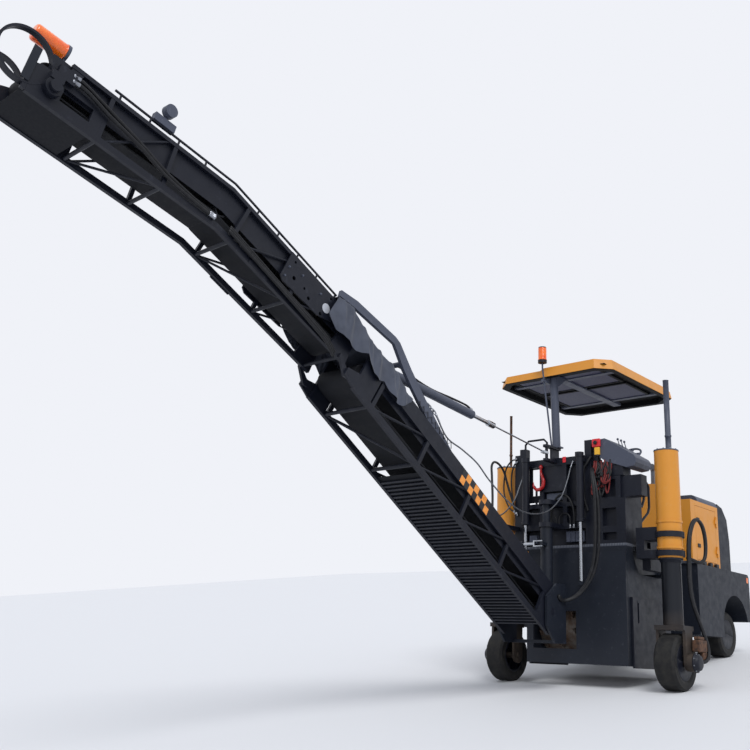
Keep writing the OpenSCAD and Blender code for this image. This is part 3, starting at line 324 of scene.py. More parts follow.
SCUFF_SPAN = (0.5, 0.8)
hose_rubber = mottled("braided_hose_rubber", ("#101115", "#3b3c40"), 25, 5.0, (0.5, 0.75), SCUFF_SPAN, 0.5,
                      SCUFF_SPAN, (5, 2.0, 0.4, 0.3), IOR=1.52, Specular_IOR_Level=0.3)
ferrule_steel = mottled("zinc_plated_ferrule", ("#a4a8b0", "#7d8086"), 14, 4.0, (0.26, 0.45), (0, 1),
                        Metallic=1.0)


def ferrules(name, paths, radius, body, length=0.07):
    """Crimped sleeves on both ends of hoses, shaped by their share of the length and of the hose's radius."""
    runs = []
    for path in paths:
        for end in (path, path[::-1]):
            ahead = (end[2] - end[0]) / np.linalg.norm(end[2] - end[0])
            stops = end[0] + np.array([0, 0.2, 0.22, 0.9, 1.0])[:, None] * length * ahead
            runs.append((stops, radius * np.array([1.5, 1.5, 1.25, 1.25, 1.02])))
    return tubes(name, runs, ferrule_steel, body, 10)


# Lines of the conveyor's head: two rubber hoses of its belt motor, clipped along the right truss from the
# motor's valve block down to the fold. They lie on the conveyor's straight stretches, and these on the
# machine's own frame, which is read from the front axle and the upright scraper rods.
FRONT_TRACK = 1440
joints = {j["name"]: j for j in frame["joints"]}
up = np.array(joints["scraper_lift"]["axis"])
forward = np.array([up[2], 0, -up[0]])
left = np.array([0, 1, 0])
pitch = math.atan2(up[0], up[2])
axle_middle = joints["front_left_spin"]["pos_m"] - FRONT_TRACK / 2000 * left


def machine(points):
    """Places in mm of the machine's frame, in metres of the part's: the axle's middle, x forward, y left and
    z up."""
    p = np.asarray(points, float) / 1000
    return axle_middle + p[..., :1] * forward + p[..., 1:2] * left + p[..., 2:] * up


class Stretch:
    """One straight stretch of the conveyor: its start on the centre plane, in metres of the part, and its
    slope in degrees to the machine's own floor."""

    def __init__(self, start, slope):
        slope = pitch + math.radians(slope)
        self.start = np.asarray(start, float)
        self.along = np.array([math.cos(slope), 0, -math.sin(slope)])
        self.over = np.array([math.sin(slope), 0, math.cos(slope)])

    def __call__(self, points):
        """Places in mm, x along the stretch, y left and z square to it, in metres of the part."""
        p = np.asarray(points, float) / 1000
        return self.start + p[..., :1] * self.along + p[..., 1:2] * left + p[..., 2:] * self.over


UPPER_LEN, HEAD_LEN, HEAD_RISE = 2000, 2085, 85
LOWER_SLOPE, UPPER_SLOPE, HEAD_SLOPE = 31.4, 25.3, 12.5
lower = Stretch(joints["conveyor_lift"]["pos_m"], LOWER_SLOPE)
upper = Stretch(joints["conveyor_fold"]["pos_m"], UPPER_SLOPE)
head = Stretch(upper([-UPPER_LEN, 0, HEAD_RISE]), HEAD_SLOPE)
HEAD_HOSE_R = 0.017
head_lines = [route(head(run)) for run in (
    [[-1700, -300, 380], [-1581, -300, 384], [-1283, -300, 317], [-955, -298, 243], [-645, -296, 160],
     [-300, -296, 110], [-60, -296, 90]],
    [[-1690, -300, 330], [-1560, -312, 330], [-1300, -314, 265], [-955, -310, 205], [-645, -304, 122],
     [-300, -300, 84], [-60, -300, 74]])]
tubes("head_motor_hoses", [(path, HEAD_HOSE_R) for path in head_lines], hose_rubber, "upper_conveyor")
ferrules("head_motor_hose_ferrules", head_lines, HEAD_HOSE_R, "upper_conveyor")

# Truss hoses: the pressure, return and drain lines that go on from the fold, clipped side by side along the
# right side of the upper truss.
TRUSS_HOSE_R = 0.015
TRUSS_CLIPS = (-1900, -1500, -1100, -700, -420, -250)
truss_lines = [route(upper(np.column_stack([TRUSS_CLIPS, y, z]))) for y, z in (
    ((-298, -300, -304, -306, -304, -300), (190, 165, 150, 140, 120, 60)),
    ((-306, -310, -312, -312, -310, -304), (160, 140, 128, 110, 90, 30)),
    ((-292, -294, -296, -298, -298, -296), (215, 195, 175, 165, 150, 90)))]
tubes("truss_hoses", [(path, TRUSS_HOSE_R) for path in truss_lines], hose_rubber, "upper_conveyor")

# Hoist hose: the hoist's pressure line, stiff braided rubber that arches over the barrel from its foot to
# the gland of its rod, with a ferrule pressed on each end.
HOIST_HOSE_R = 0.013
hoist_line = route(machine([[-6960, 8, 2522], [-6905, 14, 2582], [-6790, 20, 2606], [-6620, 20, 2575],
                            [-6454, 16, 2525], [-6182, 10, 2480], [-5854, 5, 2465], [-5600, 5, 2450],
                            [-5500, 4, 2436], [-5420, 3, 2405]]))
hoist_hose = tubes("hoist_hose", [(hoist_line, HOIST_HOSE_R)], hose_rubber, "hoist_barrel")
hoist_ends = ferrules("hoist_hose_ferrules", [hoist_line], HOIST_HOSE_R, "hoist_barrel", 0.05)


# The belt drive's hose bundle: a thick rubber sleeve that loops from the tower's right post down to the
# conveyor's tail, long enough for the slewing.
def loop(name, line, radius, fixed, moved, still, follows):
    """A hose that hangs in a loop between two places, swept as one object that rides on no body.
    The bodies and places fixed, moved, still and follows are not used."""
    hose = tubes(name, [(line, radius)], hose_rubber, None, 14)
    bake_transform(hose)


TAIL_ENDS = ("chassis", "slew_bracket", (-3765, -700, 1500), (-3900, -450, 300))
TAIL_HOSE_R = 0.024
tail_line = route(machine([[-3505, -590, 1930], [-3580, -615, 1930], [-3680, -665, 1870], [-3745, -715, 1740],
                           [-3765, -745, 1560], [-3765, -752, 1320], [-3765, -745, 1020], [-3765, -722, 770],
                           [-3775, -672, 560], [-3810, -590, 390], [-3870, -500, 275], [-3945, -420, 225],
                           [-4020, -395, 225], [-4090, -392, 270]]), 0.02)
loop("tail_hose_loop", tail_line, TAIL_HOSE_R, *TAIL_ENDS)

# The leg's drive hose: a thick rubber sleeve from the swing arm that loops over and runs down the leg to the
# wheel motor, long enough for the leg's lift.
LEG_ENDS = ("right_leg", "right_leg_slide", (-3245, -1716, 650), (-3120, -1752, 50))
LEG_HOSE_R = 0.022
leg_line = route(machine([[-3110, -1640, 800], [-3040, -1690, 770], [-2950, -1735, 750],
                          [-2870, -1760, 800], [-2830, -1765, 920], [-2830, -1762, 1080],
                          [-2880, -1755, 1210], [-2970, -1745, 1275], [-3075, -1735, 1255],
                          [-3160, -1728, 1160], [-3215, -1722, 1030], [-3240, -1718, 880],
                          [-3245, -1716, 700], [-3243, -1714, 520], [-3225, -1716, 360],
                          [-3180, -1728, 200], [-3120, -1752, 50], [-3065, -1785, -110],
                          [-3040, -1815, -250], [-3060, -1830, -360], [-3130, -1828, -425],
                          [-3205, -1806, -445]]), 0.02)
loop("leg_hose_loop", leg_line, LEG_HOSE_R, *LEG_ENDS)

# Second lines: thinner rubber hoses strapped beside the two loops at their ends, one for the lamps and one
# for the motor's return. They stand off by the sine of the way along, most in the middle.
for name, line, aside, radius, ends in (("tail_second_line", tail_line, -0.052 * left, 0.017, TAIL_ENDS),
                                        ("leg_second_line", leg_line, 0.05 * forward, 0.016, LEG_ENDS)):
    loop(name, line + aside * np.sin(np.linspace(0, math.pi, len(line)))[:, None], radius, *ends)

# Tarpaulin over the fold: coated grey cloth, laced to the fold plates and the lower truss, hanging in
# loose folds down both sides and bridging the pulleys, so that no material falls at the fold.
tarp_cloth = mottled("coated_tarpaulin_cloth", ("#343946", "#4c515e"), 120, 6.0, (0.5, 0.72),
                     pits=(28, 3.0, 3.0, 0.35), IOR=1.5, Specular_IOR_Level=0.35, Sheen_Weight=0.1)


def tarpaulin(rows=150, cols=121, rear=-4.883, front=-3.427, shoulder=0.62, half=0.346, skirt_half=0.35):
    """A grid in metres of the lower stretch, x along and a across from -1 to 1. Edge, shoulder and crown
    heights are read from rows over x and joined by smooth steps of a. Each pleat pushes out by its height
    times exp(-(d / width)^2), d being the distance from a line that starts at its x on the shoulder and
    slants back as it falls; small creases are added."""
    x = np.linspace(rear, front, rows)[:, None]
    a = np.linspace(-1, 1, cols)[None, :]

    def along(*heights):
        return np.interp(x, *np.transpose(heights))

    z_side = along((rear, 0.372), (-4.72, 0.432), (-4.62, 0.43), (-4.43, 0.39), (-4.28, 0.366),
                   (-4.07, 0.364), (-3.88, 0.396), (-3.68, 0.357), (-3.53, 0.31), (front, 0.33))
    z_edge = along((rear, 0.12), (-4.82, 0.09), (-4.71, 0.055), (-4.54, 0.08), (-4.38, 0.09),
                   (-4.25, 0.175), (-4.08, 0.08), (-3.97, 0.07), (-3.88, 0.145), (-3.76, 0.11), (-3.62, 0.09),
                   (-3.52, 0.125), (-3.43, 0.28))
    z_mid = along((rear, 0.5), (-4.69, 0.545), (-4.54, 0.565), (-4.4, 0.55), (-4.17, 0.48), (-3.925, 0.445),
                  (-3.636, 0.41), (front, 0.35))
    hang = np.clip((np.abs(a) - shoulder) / (1 - shoulder), 0, 1)
    over = np.clip(np.abs(a) / shoulder, 0, 1)
    smooth = over ** 2 * (3 - 2 * over)
    z = z_mid * (1 - smooth) + z_side * smooth - hang ** 1.05 * (z_side - z_edge)
    fall = z_side - z
    push = np.zeros(z.shape)
    for start, height, width, slant in ((-4.8, 0.016, 0.035, 0.5), (-4.66, 0.034, 0.05, 0.35),
                                        (-4.42, 0.04, 0.055, 0.9), (-4.27, 0.018, 0.03, 0.6),
                                        (-4.11, 0.038, 0.05, 0.35), (-3.9, 0.034, 0.055, 0.8),
                                        (-3.74, 0.02, 0.035, 0.3), (-3.6, 0.03, 0.045, 0.6)):
        push += height * np.exp(-((x - start - slant * fall) / (width * (0.6 + 2.2 * fall))) ** 2)
    crease = 0.0035 * np.sin(23 * x + 14 * z + 3 * np.sin(7 * x)) * np.sin(9 * z + 6 * x)
    loose = np.clip(hang * 2.5, 0.12, 1) * (np.abs(a) > 0.55)
    y = np.sign(a) * (np.where(np.abs(a) < shoulder, over * half, skirt_half) + (push + crease) * loose)
    z = z + (push * 0.5 + crease) * (1 - hang) * 0.8
    grid = np.stack(np.broadcast_arrays(x, y, z), -1).reshape(-1, 3)
    return lower(1000 * grid), grid_faces(rows, cols).tolist()


tarp = new_piece("fold_tarpaulin", *tarpaulin(), tarp_cloth, None)
tuple(lower([-4150, 0, 400]))
tuple(lower([-4500, 0, 400]))
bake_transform(tarp)

# Hazard markers: printed reflective film, orange and black, stuck in two staggered rows on both sides of
# the lower truss.
film_orange = mottled("orange_reflective_film", ("#e08a30", "#f2a048"), 22, 4.0, (0.27, 0.47), IOR=1.49)
film_black = mottled("black_marker_film", ("#0d0e11", "#1b1c20"), 22, 4.0, (0.32, 0.52), IOR=1.49)


def checks(name, y, x=-2300, z=138, columns=7, size=88):
    """Squares on a plane beside the truss; a square is orange where column plus row is even."""
    col, row = np.divmod(np.arange(2 * columns), 2)
    across = x + size * (col[:, None] + [0, 1, 1, 0])
    upright = z + size * (row[:, None] + [0, 0, 1, 1])
    corners = np.stack(np.broadcast_arrays(across, y, upright), -1).reshape(-1, 3)
    faces = np.arange(8 * columns).reshape(-1, 4)[:, ::1 if y < 0 else -1]
    piece = new_piece(name, lower(corners), faces.tolist(), film_orange, "lower_conveyor", smooth=False)
    piece.data.materials.append(film_black)
    piece.data.polygons.foreach_set("material_index", ((col + row) % 2).tolist())


LOWER_HALF, FILM = 340, 1.5
checks("hazard_checks_right", -LOWER_HALF - FILM)
checks("hazard_checks_left", LOWER_HALF + FILM)


# Beacons: moulded orange acrylic domes with fine rings, screwed on their bases. One stands on the pole by
# the canopy, the other lies along the conveyor's head.
def turned(foot, along, profile, place=machine):
    """A turned body as a run for tubes(): where it stands, its axis, and rows of mm along it and radius."""
    p = np.asarray(profile, float) / 1000
    ahead = np.asarray(along, float) / np.linalg.norm(along)
    return place(foot) + p[:, :1] * ahead, p[:, 1]


def ringed(length, radius):
    """Profile of a lens: a flange, rings by radius + 0.7 cos every 9 mm, and an end rounded by 24 mm."""
    ring, pitch_mm, end = 0.7, 9, 24
    along = np.arange(14, length - 26, 1.5)
    a = np.radians(np.arange(0, 91, 9))
    return np.vstack([[[0.5, radius - 6], [1, radius + 5], [9, radius + 5], [10, radius + 1]],
                      np.stack([along, radius + ring * np.cos(along * 2 * math.pi / pitch_mm)], 1),
                      np.stack([length - end + end * np.sin(a), radius - end + end * np.cos(a)], 1),
                      [[length + 0.2, 1]]])


HEAD_H = 580
lens_orange = mottled("orange_beacon_acrylic", ("#fb7a1c", "#e8560e"), 60, 3.0, (0.2, 0.2), IOR=1.49,
                      Coat_Weight=0.5, Coat_Roughness=0.08, Subsurface_Weight=0.15, Subsurface_Scale=0.02)
tubes("canopy_beacon_lens", [turned([-3700, 60, 3520], up, ringed(192, 57))], lens_orange, "chassis", 40)
beacon_tilt = math.radians(2)
beacon_axis = -head.along * math.cos(beacon_tilt) - head.over * math.sin(beacon_tilt)
tubes("head_beacon_lens", [turned([-HEAD_LEN + 293, -140, HEAD_H + 56], beacon_axis, ringed(286, 76), head)],
      lens_orange, "upper_conveyor", 40)


# Canopy lining: a dark moulded liner in the glass fibre roof with two framed panels of navy padded vinyl,
# pressed into plastic frames.
def blocks(name, boxes, material, body, bevel=3.0, place=machine):
    """Cut or cast blocks in one object, each between two corners in mm, with their edges rounded."""
    verts, faces = [], []
    for k, (a, b) in enumerate(boxes):
        verts.append(place([[x, y, z] for x in (a[0], b[0]) for y in (a[1], b[1]) for z in (a[2], b[2])]))
        faces += [[8 * k + n for n in quad] for quad in
                  ((0, 1, 3, 2), (4, 6, 7, 5), (0, 4, 5, 1), (2, 3, 7, 6), (0, 2, 6, 4), (1, 5, 7, 3))]
    piece = new_piece(name, np.vstack(verts), faces, material, body, smooth=False)
    edge = piece.modifiers.new("rounded_edges", "BEVEL")
    edge.width, edge.segments, edge.limit_method = bevel / 1000, 3, "ANGLE"


def grained(name, tones, size_mm, roughness, **sockets):
    """Moulded plastic or vinyl: fine leather grain of that size, a little lighter on its crowns."""
    return mottled(name, tones, size_mm, 3.0, (roughness - 0.05, roughness + 0.1), (0, 1),
                   pits=(size_mm, 3.0, 0.5, 0.3), IOR=1.5, **sockets)


PANEL_LOW, PANEL_TOP = 3330, 3352
FRAME_W, FRAME_HALF, FRAME_LOW, FRAME_TOP = 40, 680, 3324, 3351
liner_plastic = grained("canopy_liner_plastic", ("#07080a", "#0e0f13"), 6, 0.65, Specular_IOR_Level=0.15)
navy_vinyl = grained("navy_panel_vinyl", ("#0e1236", "#171c48"), 8, 0.45, Specular_IOR_Level=0.3)
blocks("canopy_liner", [((-3578, -828, PANEL_TOP), (-1572, 828, 3359.5))], liner_plastic, "chassis", 2)
blocks("canopy_panels", [((rear, -640, PANEL_LOW), (front, 640, PANEL_TOP))
                         for rear, front in ((-3420, -2790), (-2640, -1900))], navy_vinyl, "chassis", 8)
blocks("canopy_panel_frames", [((x0, y0, FRAME_LOW), (x1, y1, FRAME_TOP))
                               for rear, front in ((-3460, -2750), (-2680, -1860)) for x0, x1, y0, y1 in (
                                   (rear, rear + FRAME_W, -FRAME_HALF, FRAME_HALF),
                                   (front - FRAME_W, front, -FRAME_HALF, FRAME_HALF),
                                   (rear + FRAME_W, front - FRAME_W, -FRAME_HALF, FRAME_W - FRAME_HALF),
                                   (rear + FRAME_W, front - FRAME_W, FRAME_HALF - FRAME_W, FRAME_HALF))],
       liner_plastic, "chassis", 4)

# Emergency stop: a red pressed plate with its black mushroom button, over a yellow contact box, screwed to
# the tower's right post. A small red moulded lamp is screwed to the tower's beam.
POST_FACE = -3500
signal_red = grained("red_stop_plastic", ("#c81e28", "#dc303a"), 5, 0.4)
signal_yellow = grained("yellow_stop_plastic", ("#e2a722", "#eeb93a"), 5, 0.42)
black_plastic = grained("black_switch_plastic", ("#111216", "#1c1d22"), 5, 0.5, Specular_IOR_Level=0.35)
blocks("stop_plate", [((POST_FACE - 36, -706, 2236), (POST_FACE, -590, 2346))], signal_red, "chassis", 9)
blocks("stop_box", [((POST_FACE - 32, -696, 2128), (POST_FACE, -624, 2230))], signal_yellow, "chassis", 6)
tubes("stop_buttons", [
    turned([POST_FACE - 36, -648, 2290], -forward, [[0, 16], [8, 16], [9, 27], [15, 28], [22, 24], [25, 14],
                                                    [26, 1]]),
    turned([POST_FACE - 14, -660, 2128], -up, [[0, 30], [10, 32], [20, 30], [24, 18], [25, 1]])],
      black_plastic, "chassis", 28)
blocks("tower_tail_lamp", [((-3512, -176, 2078), (-3490, -128, 2158))], signal_red, "chassis", 6)


# Leg caps: turned covers on the yellow sleeves, each held by ten zinc plated bolts, and black gland rings
# pressed round the tubes below.
def bolts(name, heads, across, body, place=machine, material=ferrule_steel):
    """Hexagon heads on washers, each a foot in mm, the way it stands, and its width across corners in mm."""
    r = across / 2
    head_profile = [[0, r * 1.3], [1.5, r * 1.3], [1.6, r], [r * 1.05, r], [r * 1.2, r * 0.86]]
    tubes(name, [turned(foot, along, head_profile, place) for foot, along in heads], material, body, 6,
          smooth=False)


def circle(centre, radius, count, along="z", turn=0.0):
    """Places on a circle about an axis of the machine, in mm."""
    a = np.arange(count) * 2 * math.pi / count + turn
    u, v = radius * np.cos(a), radius * np.sin(a)
    o = np.zeros(count)
    return np.asarray(centre, float) + np.stack({"z": (u, v, o), "y": (u, o, v), "x": (o, u, v)}[along], 1)


LEG_X, LEG_TOP, LEG_MOUTH = -3330, 2110, 769
CAP_PROFILE = [[0.2, 100], [0.3, 153], [2, 155], [15, 155], [17, 152], [17.5, 60]]
GLAND_PROFILE = [[0.2, 122], [0.4, 146], [3, 148], [22, 148], [25, 145], [26, 132], [52, 130], [55, 124]]
LEG_Y = {"right": -1530, "left": 880}
LEG_BODY = {"right": "right_leg", "left": "chassis"}
for side in ("right", "left"):
    y, body = LEG_Y[side], LEG_BODY[side]
    tubes(f"{side}_leg_cap", [turned([LEG_X, y, LEG_TOP], up, CAP_PROFILE)], grey_enamel, body, 48)
    bolts(f"{side}_leg_cap_bolts", [(c, up) for c in circle((LEG_X, y, LEG_TOP + 17), 136, 10, turn=0.2)],
          20, body)
    tubes(f"{side}_leg_gland", [turned([LEG_X, y, LEG_MOUTH], -up, GLAND_PROFILE)], black_enamel, body, 48)

# Wheels: nuts on studs round each hub, a bead on each rim and a pressed cap in front. The rear wheels are
# driven by motors in rusted cast housings whose outer ends carry a cover with eight bolts.
HUB_Z, NUT_CIRCLE, COVER_CIRCLE = -454, 78, 103
HUB_FACE, RIM_FACE, MOTOR_END = 70, 117, 255  # from the wheel's middle outwards
cast_rust = mottled("rusted_cast_iron", ("#6b4a34", "#3b2f2a"), 22, 7.0, (0.7, 0.9), (0.35, 0.65),
                    pits=(5, 6.0, 1.5, 0.6), Metallic=0.2)
for wheel, centre, s in (("front_right", (0, -FRONT_TRACK / 2, 0), -1),
                         ("front_left", (0, FRONT_TRACK / 2, 0), 1),
                         ("rear_right", (LEG_X, LEG_Y["right"], HUB_Z), -1),
                         ("rear_left", (LEG_X, LEG_Y["left"], HUB_Z), 1)):
    out = s * left
    face, rim, end = (centre + reach * out for reach in (HUB_FACE, RIM_FACE, MOTOR_END))
    body = f"wheel_{wheel}"
    bolts(f"{wheel}_wheel_nuts", [(c, out) for c in circle(face, NUT_CIRCLE, 8, "y")], 26, body)
    tubes(f"{wheel}_rim_bead", [turned(rim, out, [[-2, 198], [-1, 213], [0.5, 216], [3, 213], [4, 206],
                                                  [3.5, 199]])], black_enamel, body, 48)
    if wheel.startswith("front"):
        tubes(f"{wheel}_hub_cap", [turned(face, out, [[0.3, 56], [1, 60], [10, 58], [34, 50], [46, 40],
                                                      [50, 22], [51, 1]])], black_enamel, body, 36)
        continue
    body = "right_leg_slide" if s < 0 else "left_leg_slide"
    tubes(f"{wheel}_motor_cover", [turned(end, out, [[0.3, 104], [1, 112], [16, 112], [18, 96], [52, 88],
                                                     [60, 78], [62, 40], [63, 1]])], black_enamel, body, 40)
    cover_bolts = circle(end + 16 * out, COVER_CIRCLE, 8, "y", 0.3)
    bolts(f"{wheel}_motor_cover_bolts", [(c, out) for c in cover_bolts], 16, body)
    lo, hi = sorted((end[1] - s * 60, end[1] + s * 40))
    blocks(f"{wheel}_brake_housing", [((-3290, lo, -330), (-3070, hi, -190)),
                                      ((-3260, lo + 12, -192), (-3110, hi - 12, -150)),
                                      ((-3180, lo + 8, -420), (-3060, hi - 8, -328))], cast_rust, body, 14)

# Scraper rods: chromed steel sleeves slid over the two round rods that hold the blade at the housing's
# rear. They clear the bores that they run in by a hair.
SLEEVE_R, SLEEVE_LEN = 22.04, 757
tubes("scraper_rod_sleeves", [turned([-3600, y, 486], up, [[0, SLEEVE_R - 0.01], [1, SLEEVE_R],
                                                           [SLEEVE_LEN - 1, SLEEVE_R],
                                                           [SLEEVE_LEN, SLEEVE_R - 0.01]])
                              for y in (-440, 400)], chrome, "scraper", 96)

# Hood fittings: black paddle latches on both doors, slats in the cowl's vent, filler caps on the bonnet,
# rubber buffers on the ledge under the hood, and an orange reflector at each corner of the nose.
LATCH_Y, BUFFER_Y, REFLECTOR_Y = (929.5, 942), (944, 986), (989.8, 994)
for side, s in (("right", -1), ("left", 1)):
    latch, buffer, reflector = (sorted((s * near, s * far)) for near, far in (LATCH_Y, BUFFER_Y, REFLECTOR_Y))
    blocks(f"{side}_door_latches", [((-1110, latch[0], z), (-1020, latch[1], z + 56)) for z in (1180, 1560)],
           black_plastic, f"hood_door_{side}", 6)
    blocks(f"{side}_ledge_buffers", [((x, buffer[0], 930.2), (x + 90, buffer[1], 985))
                                     for x in (-1040, -820, -600)], black_plastic, "chassis", 8)
    blocks(f"{side}_corner_reflector", [((500, reflector[0], 800), (560, reflector[1], 880))], lens_orange,
           "chassis", 1.5)
blocks("cowl_vent_slats", [((-1302, -516, z), (-1290, -409, z + 5)) for z in range(1932, 2030, 13)],
       black_plastic, "chassis", 1.5)
FILLER_PROFILE = [[0.2, 58], [1, 62], [20, 62], [24, 58], [26, 40], [27, 1]]
tubes("hood_filler_caps", [turned([x, y, 1960], up, FILLER_PROFILE) for x, y in ((-560, 520), (-800, -480))],
      black_plastic, "chassis", 32)

# Fold plates: painted bolt heads round the joint on the right side, and a bare round plate riveted on where
# the real one has a sign.
UPPER_HALF, PLATE = 280, 10
bolts("fold_plate_bolts", [((x, -UPPER_HALF - PLATE, z), -left) for x, z in
                           ((-480, 380), (-480, 470), (-700, 480), (-980, 470), (-1160, 300), (-1160, 420))],
      22, "upper_conveyor", upper, grey_enamel)
plate_white = enamel("bare_round_plate", "#b9bcc4", "#a9acb4", "#8b8d92", 0.42, 0.1)
tubes("bare_sign_plate", [turned([-566, -UPPER_HALF - PLATE - 0.3, 404], -left,
                                 [[0, 48], [0.3, 52], [2.2, 52], [2.6, 50], [2.7, 1]], upper)],
      plate_white, "upper_conveyor", 40)

# Dust guards: thin black rubber sheets under the lower belt's slats and under the head, riveted to the
# frames, that keep crumbs off the road.
guard_rubber = grained("dust_guard_rubber", ("#0c0e13", "#16181e"), 12, 0.7, Specular_IOR_Level=0.2)
blocks("lower_dust_guard", [((-2860, -300, -228), (-110, 300, -224))], guard_rubber, "lower_conveyor",
       1.5, lower)
blocks("head_dust_guard", [((-HEAD_LEN + 70, -238, 8), (-1390, 238, 13))], guard_rubber, "upper_conveyor",
       1.5, head)

# Tower's back wall: folded black plates behind the posts, left open round the hook. They carry the grey
# cast valve blocks, and sheet steel junction boxes are bolted beside them.
WALL_REAR, WALL_FRONT = -3412, -3406
BLOCK_FOOT = WALL_REAR + 1
blocks("tower_back_plates", [((WALL_REAR, y0, z0), (WALL_FRONT, y1, z1)) for y0, y1, z0, z1 in (
    (-462, 240, 965, 1490), (240, 462, 965, 1545), (-462, 232, 1490, 2052), (232, 462, 1575, 1672),
    (402, 462, 1672, 2052), (232, 402, 2040, 2052))], black_enamel, "chassis", 1.5)
blocks("valve_bank", [((-3470, y, 1010), (BLOCK_FOOT, y + 62, 1150)) for y in range(-420, -140, 70)]
       + [((-3462, -430, 1560), (BLOCK_FOOT, -300, 1660)), ((-3455, -110, 1585), (BLOCK_FOOT, 160, 1680)),
          ((-3480, -60, 2052), (-3420, 140, 2160)), ((-3478, 300, 1010), (BLOCK_FOOT, 420, 1120))],
       grey_enamel, "chassis", 5)
blocks("junction_boxes", [((-3488, -1006, 1832), (-3310, -656, 1975)),
                          ((-3470, -652, 1700), (-3400, -566, 2300)),
                          ((-3494, -900, 1976), (-3380, -700, 2032))], black_enamel, "chassis", 8)

# Tower hoses: three lines of braided rubber that arch up from the valve bank's ports and back, and three
# short branches beside the posts. Each end is pressed into a ferrule.
ARCH_X, PORT_Z, BRANCH_R = -3520, 1185, 0.011
arches = [([[ARCH_X, y, z] for y, z in ((first, PORT_Z), *crown, (last, PORT_Z))], radius)
          for radius, first, last, crown in (
    (0.015, 51, -296, ((50, 1350), (26, 1490), (-38, 1600), (-125, 1640), (-212, 1600), (-276, 1490),
                       (-302, 1350))),
    (0.01, -72, -240, ((-72, 1300), (-84, 1345), (-114, 1375), (-156, 1387), (-198, 1375), (-228, 1345),
                       (-240, 1300))),
    (0.01, 130, -30, ((130, 1300), (119, 1340), (90, 1369), (50, 1380), (10, 1369), (-19, 1340),
                      (-30, 1300))))]
branches = [(run, BRANCH_R) for run in (
    [[-3512, 600, 2200], [-3540, 680, 2170], [-3550, 765, 2050], [-3550, 798, 1808], [-3548, 770, 1640],
     [-3535, 700, 1500], [-3512, 610, 1440]],
    [[-3512, 590, 2160], [-3540, 630, 2110], [-3552, 662, 1990], [-3552, 668, 1830], [-3545, 650, 1640],
     [-3535, 625, 1500], [-3512, 590, 1400]],
    [[-3512, 485, 2010], [-3540, 476, 1940], [-3548, 470, 1815], [-3540, 455, 1690], [-3516, 430, 1530]])]
for k, (run, radius) in enumerate(arches + branches):
    line = route(machine(run), 0.02)
    ends = ferrules(f"tower_hose_{k}_ferrules", [line], radius, "chassis", 0.05)
    hose = tubes(f"tower_hose_{k}", [(line, radius)], hose_rubber, "chassis", 14)

# Cable harness: thirty-two lines in black and oxide red plastic sleeves that leave the junction boxes in
# loops, and one corrugated conduit that runs down the post.
red_sleeve = grained("oxide_red_sleeve", ("#4f1719", "#7c2a28"), 9, 0.5, Specular_IOR_Level=0.3)
BOX_FACE, BOX_RIGHT, BOX_LEFT = -3496, -850, -590


def harness(count, seed):
    """Hanging loops: both ends on the boxes' faces, depth and lean from a seeded generator; the path is
    z = top - depth sin(pi t)^0.7, y from start to end with a round belly, x bowed out by sin(pi t)."""
    apart, tops, depths, belly, bow = 130, (1900, 2060), (140, 400), 45, (20, 85)
    rng = np.random.default_rng(seed)
    t = np.linspace(0, 1, 30)
    arch = np.sin(math.pi * t)
    lines = []
    for k in range(count):
        y0 = rng.uniform(BOX_RIGHT, BOX_LEFT - 10)
        y1 = np.clip(y0 + rng.uniform(-apart, apart), BOX_RIGHT, BOX_LEFT)
        top0, top1 = rng.uniform(*tops, 2)
        depth = rng.uniform(*depths)
        y = y0 + (y1 - y0) * t + rng.uniform(-belly, belly) * np.sin(2 * math.pi * t)
        z = top0 + (top1 - top0) * t - depth * arch ** 0.7
        lines.append(machine(np.stack([BOX_FACE - rng.uniform(*bow) * arch, y, z], 1)))
    return lines


RED_R, BLACK_R, CONDUIT_R, CORRUGATION = 0.0105, 0.0115, 0.017, 0.0025
tubes("harness_red_lines", [(path, RED_R) for path in harness(15, seed=4)], red_sleeve, "chassis", 8)
tubes("harness_black_lines", [(path, BLACK_R) for path in harness(17, seed=9)], hose_rubber, "chassis", 8)
conduit = route(machine([[-3518, -560, 2110], [-3545, -525, 2040], [-3555, -480, 1960], [-3555, -462, 1860],
                         [-3550, -462, 1720], [-3545, -470, 1560], [-3518, -505, 1400]]), 0.004)
waves = CONDUIT_R + CORRUGATION * np.cos(np.arange(len(conduit)) * math.pi)
tubes("harness_conduit", [(conduit, waves)], hose_rubber, "chassis", 14)

# Safety cables: galvanised wire ropes with pressed ends that sag from the conveyor's truss to the tower's
# posts, hung on a chain of four links. The strands' pattern is drawn coarser than the real lay.
STRAND_PITCH = 10.472
wire_rope, tree, shader, spot = new_material("galvanised_wire_rope", Metallic=0.8)
strands = bands(tree, spot, STRAND_PITCH, "DIAGONAL", Distortion=0.5)
finish(tree, shader, two_tone(tree, strands, "#3d4046", "#8d9096"), between(tree, strands, (0, 1), 0.6, 0.4),
       strands, 1.0)


def links(first, along, count, half):
    """Ovals of round bar, half their length given in metres, each a turn of 90 degrees from the last and
    three quarters of its length on."""
    along = along / np.linalg.norm(along)
    side = np.cross(along, left)
    a = np.linspace(0, 2 * math.pi, 25)[:, None]
    runs = []
    for k in range(count):
        wide = side if k % 2 else np.cross(along, side)
        oval = half * (along * (1.5 * k + np.cos(a)) + wide * 0.62 * np.sin(a))
        runs.append((first + oval, 0.24 * half))
    return runs


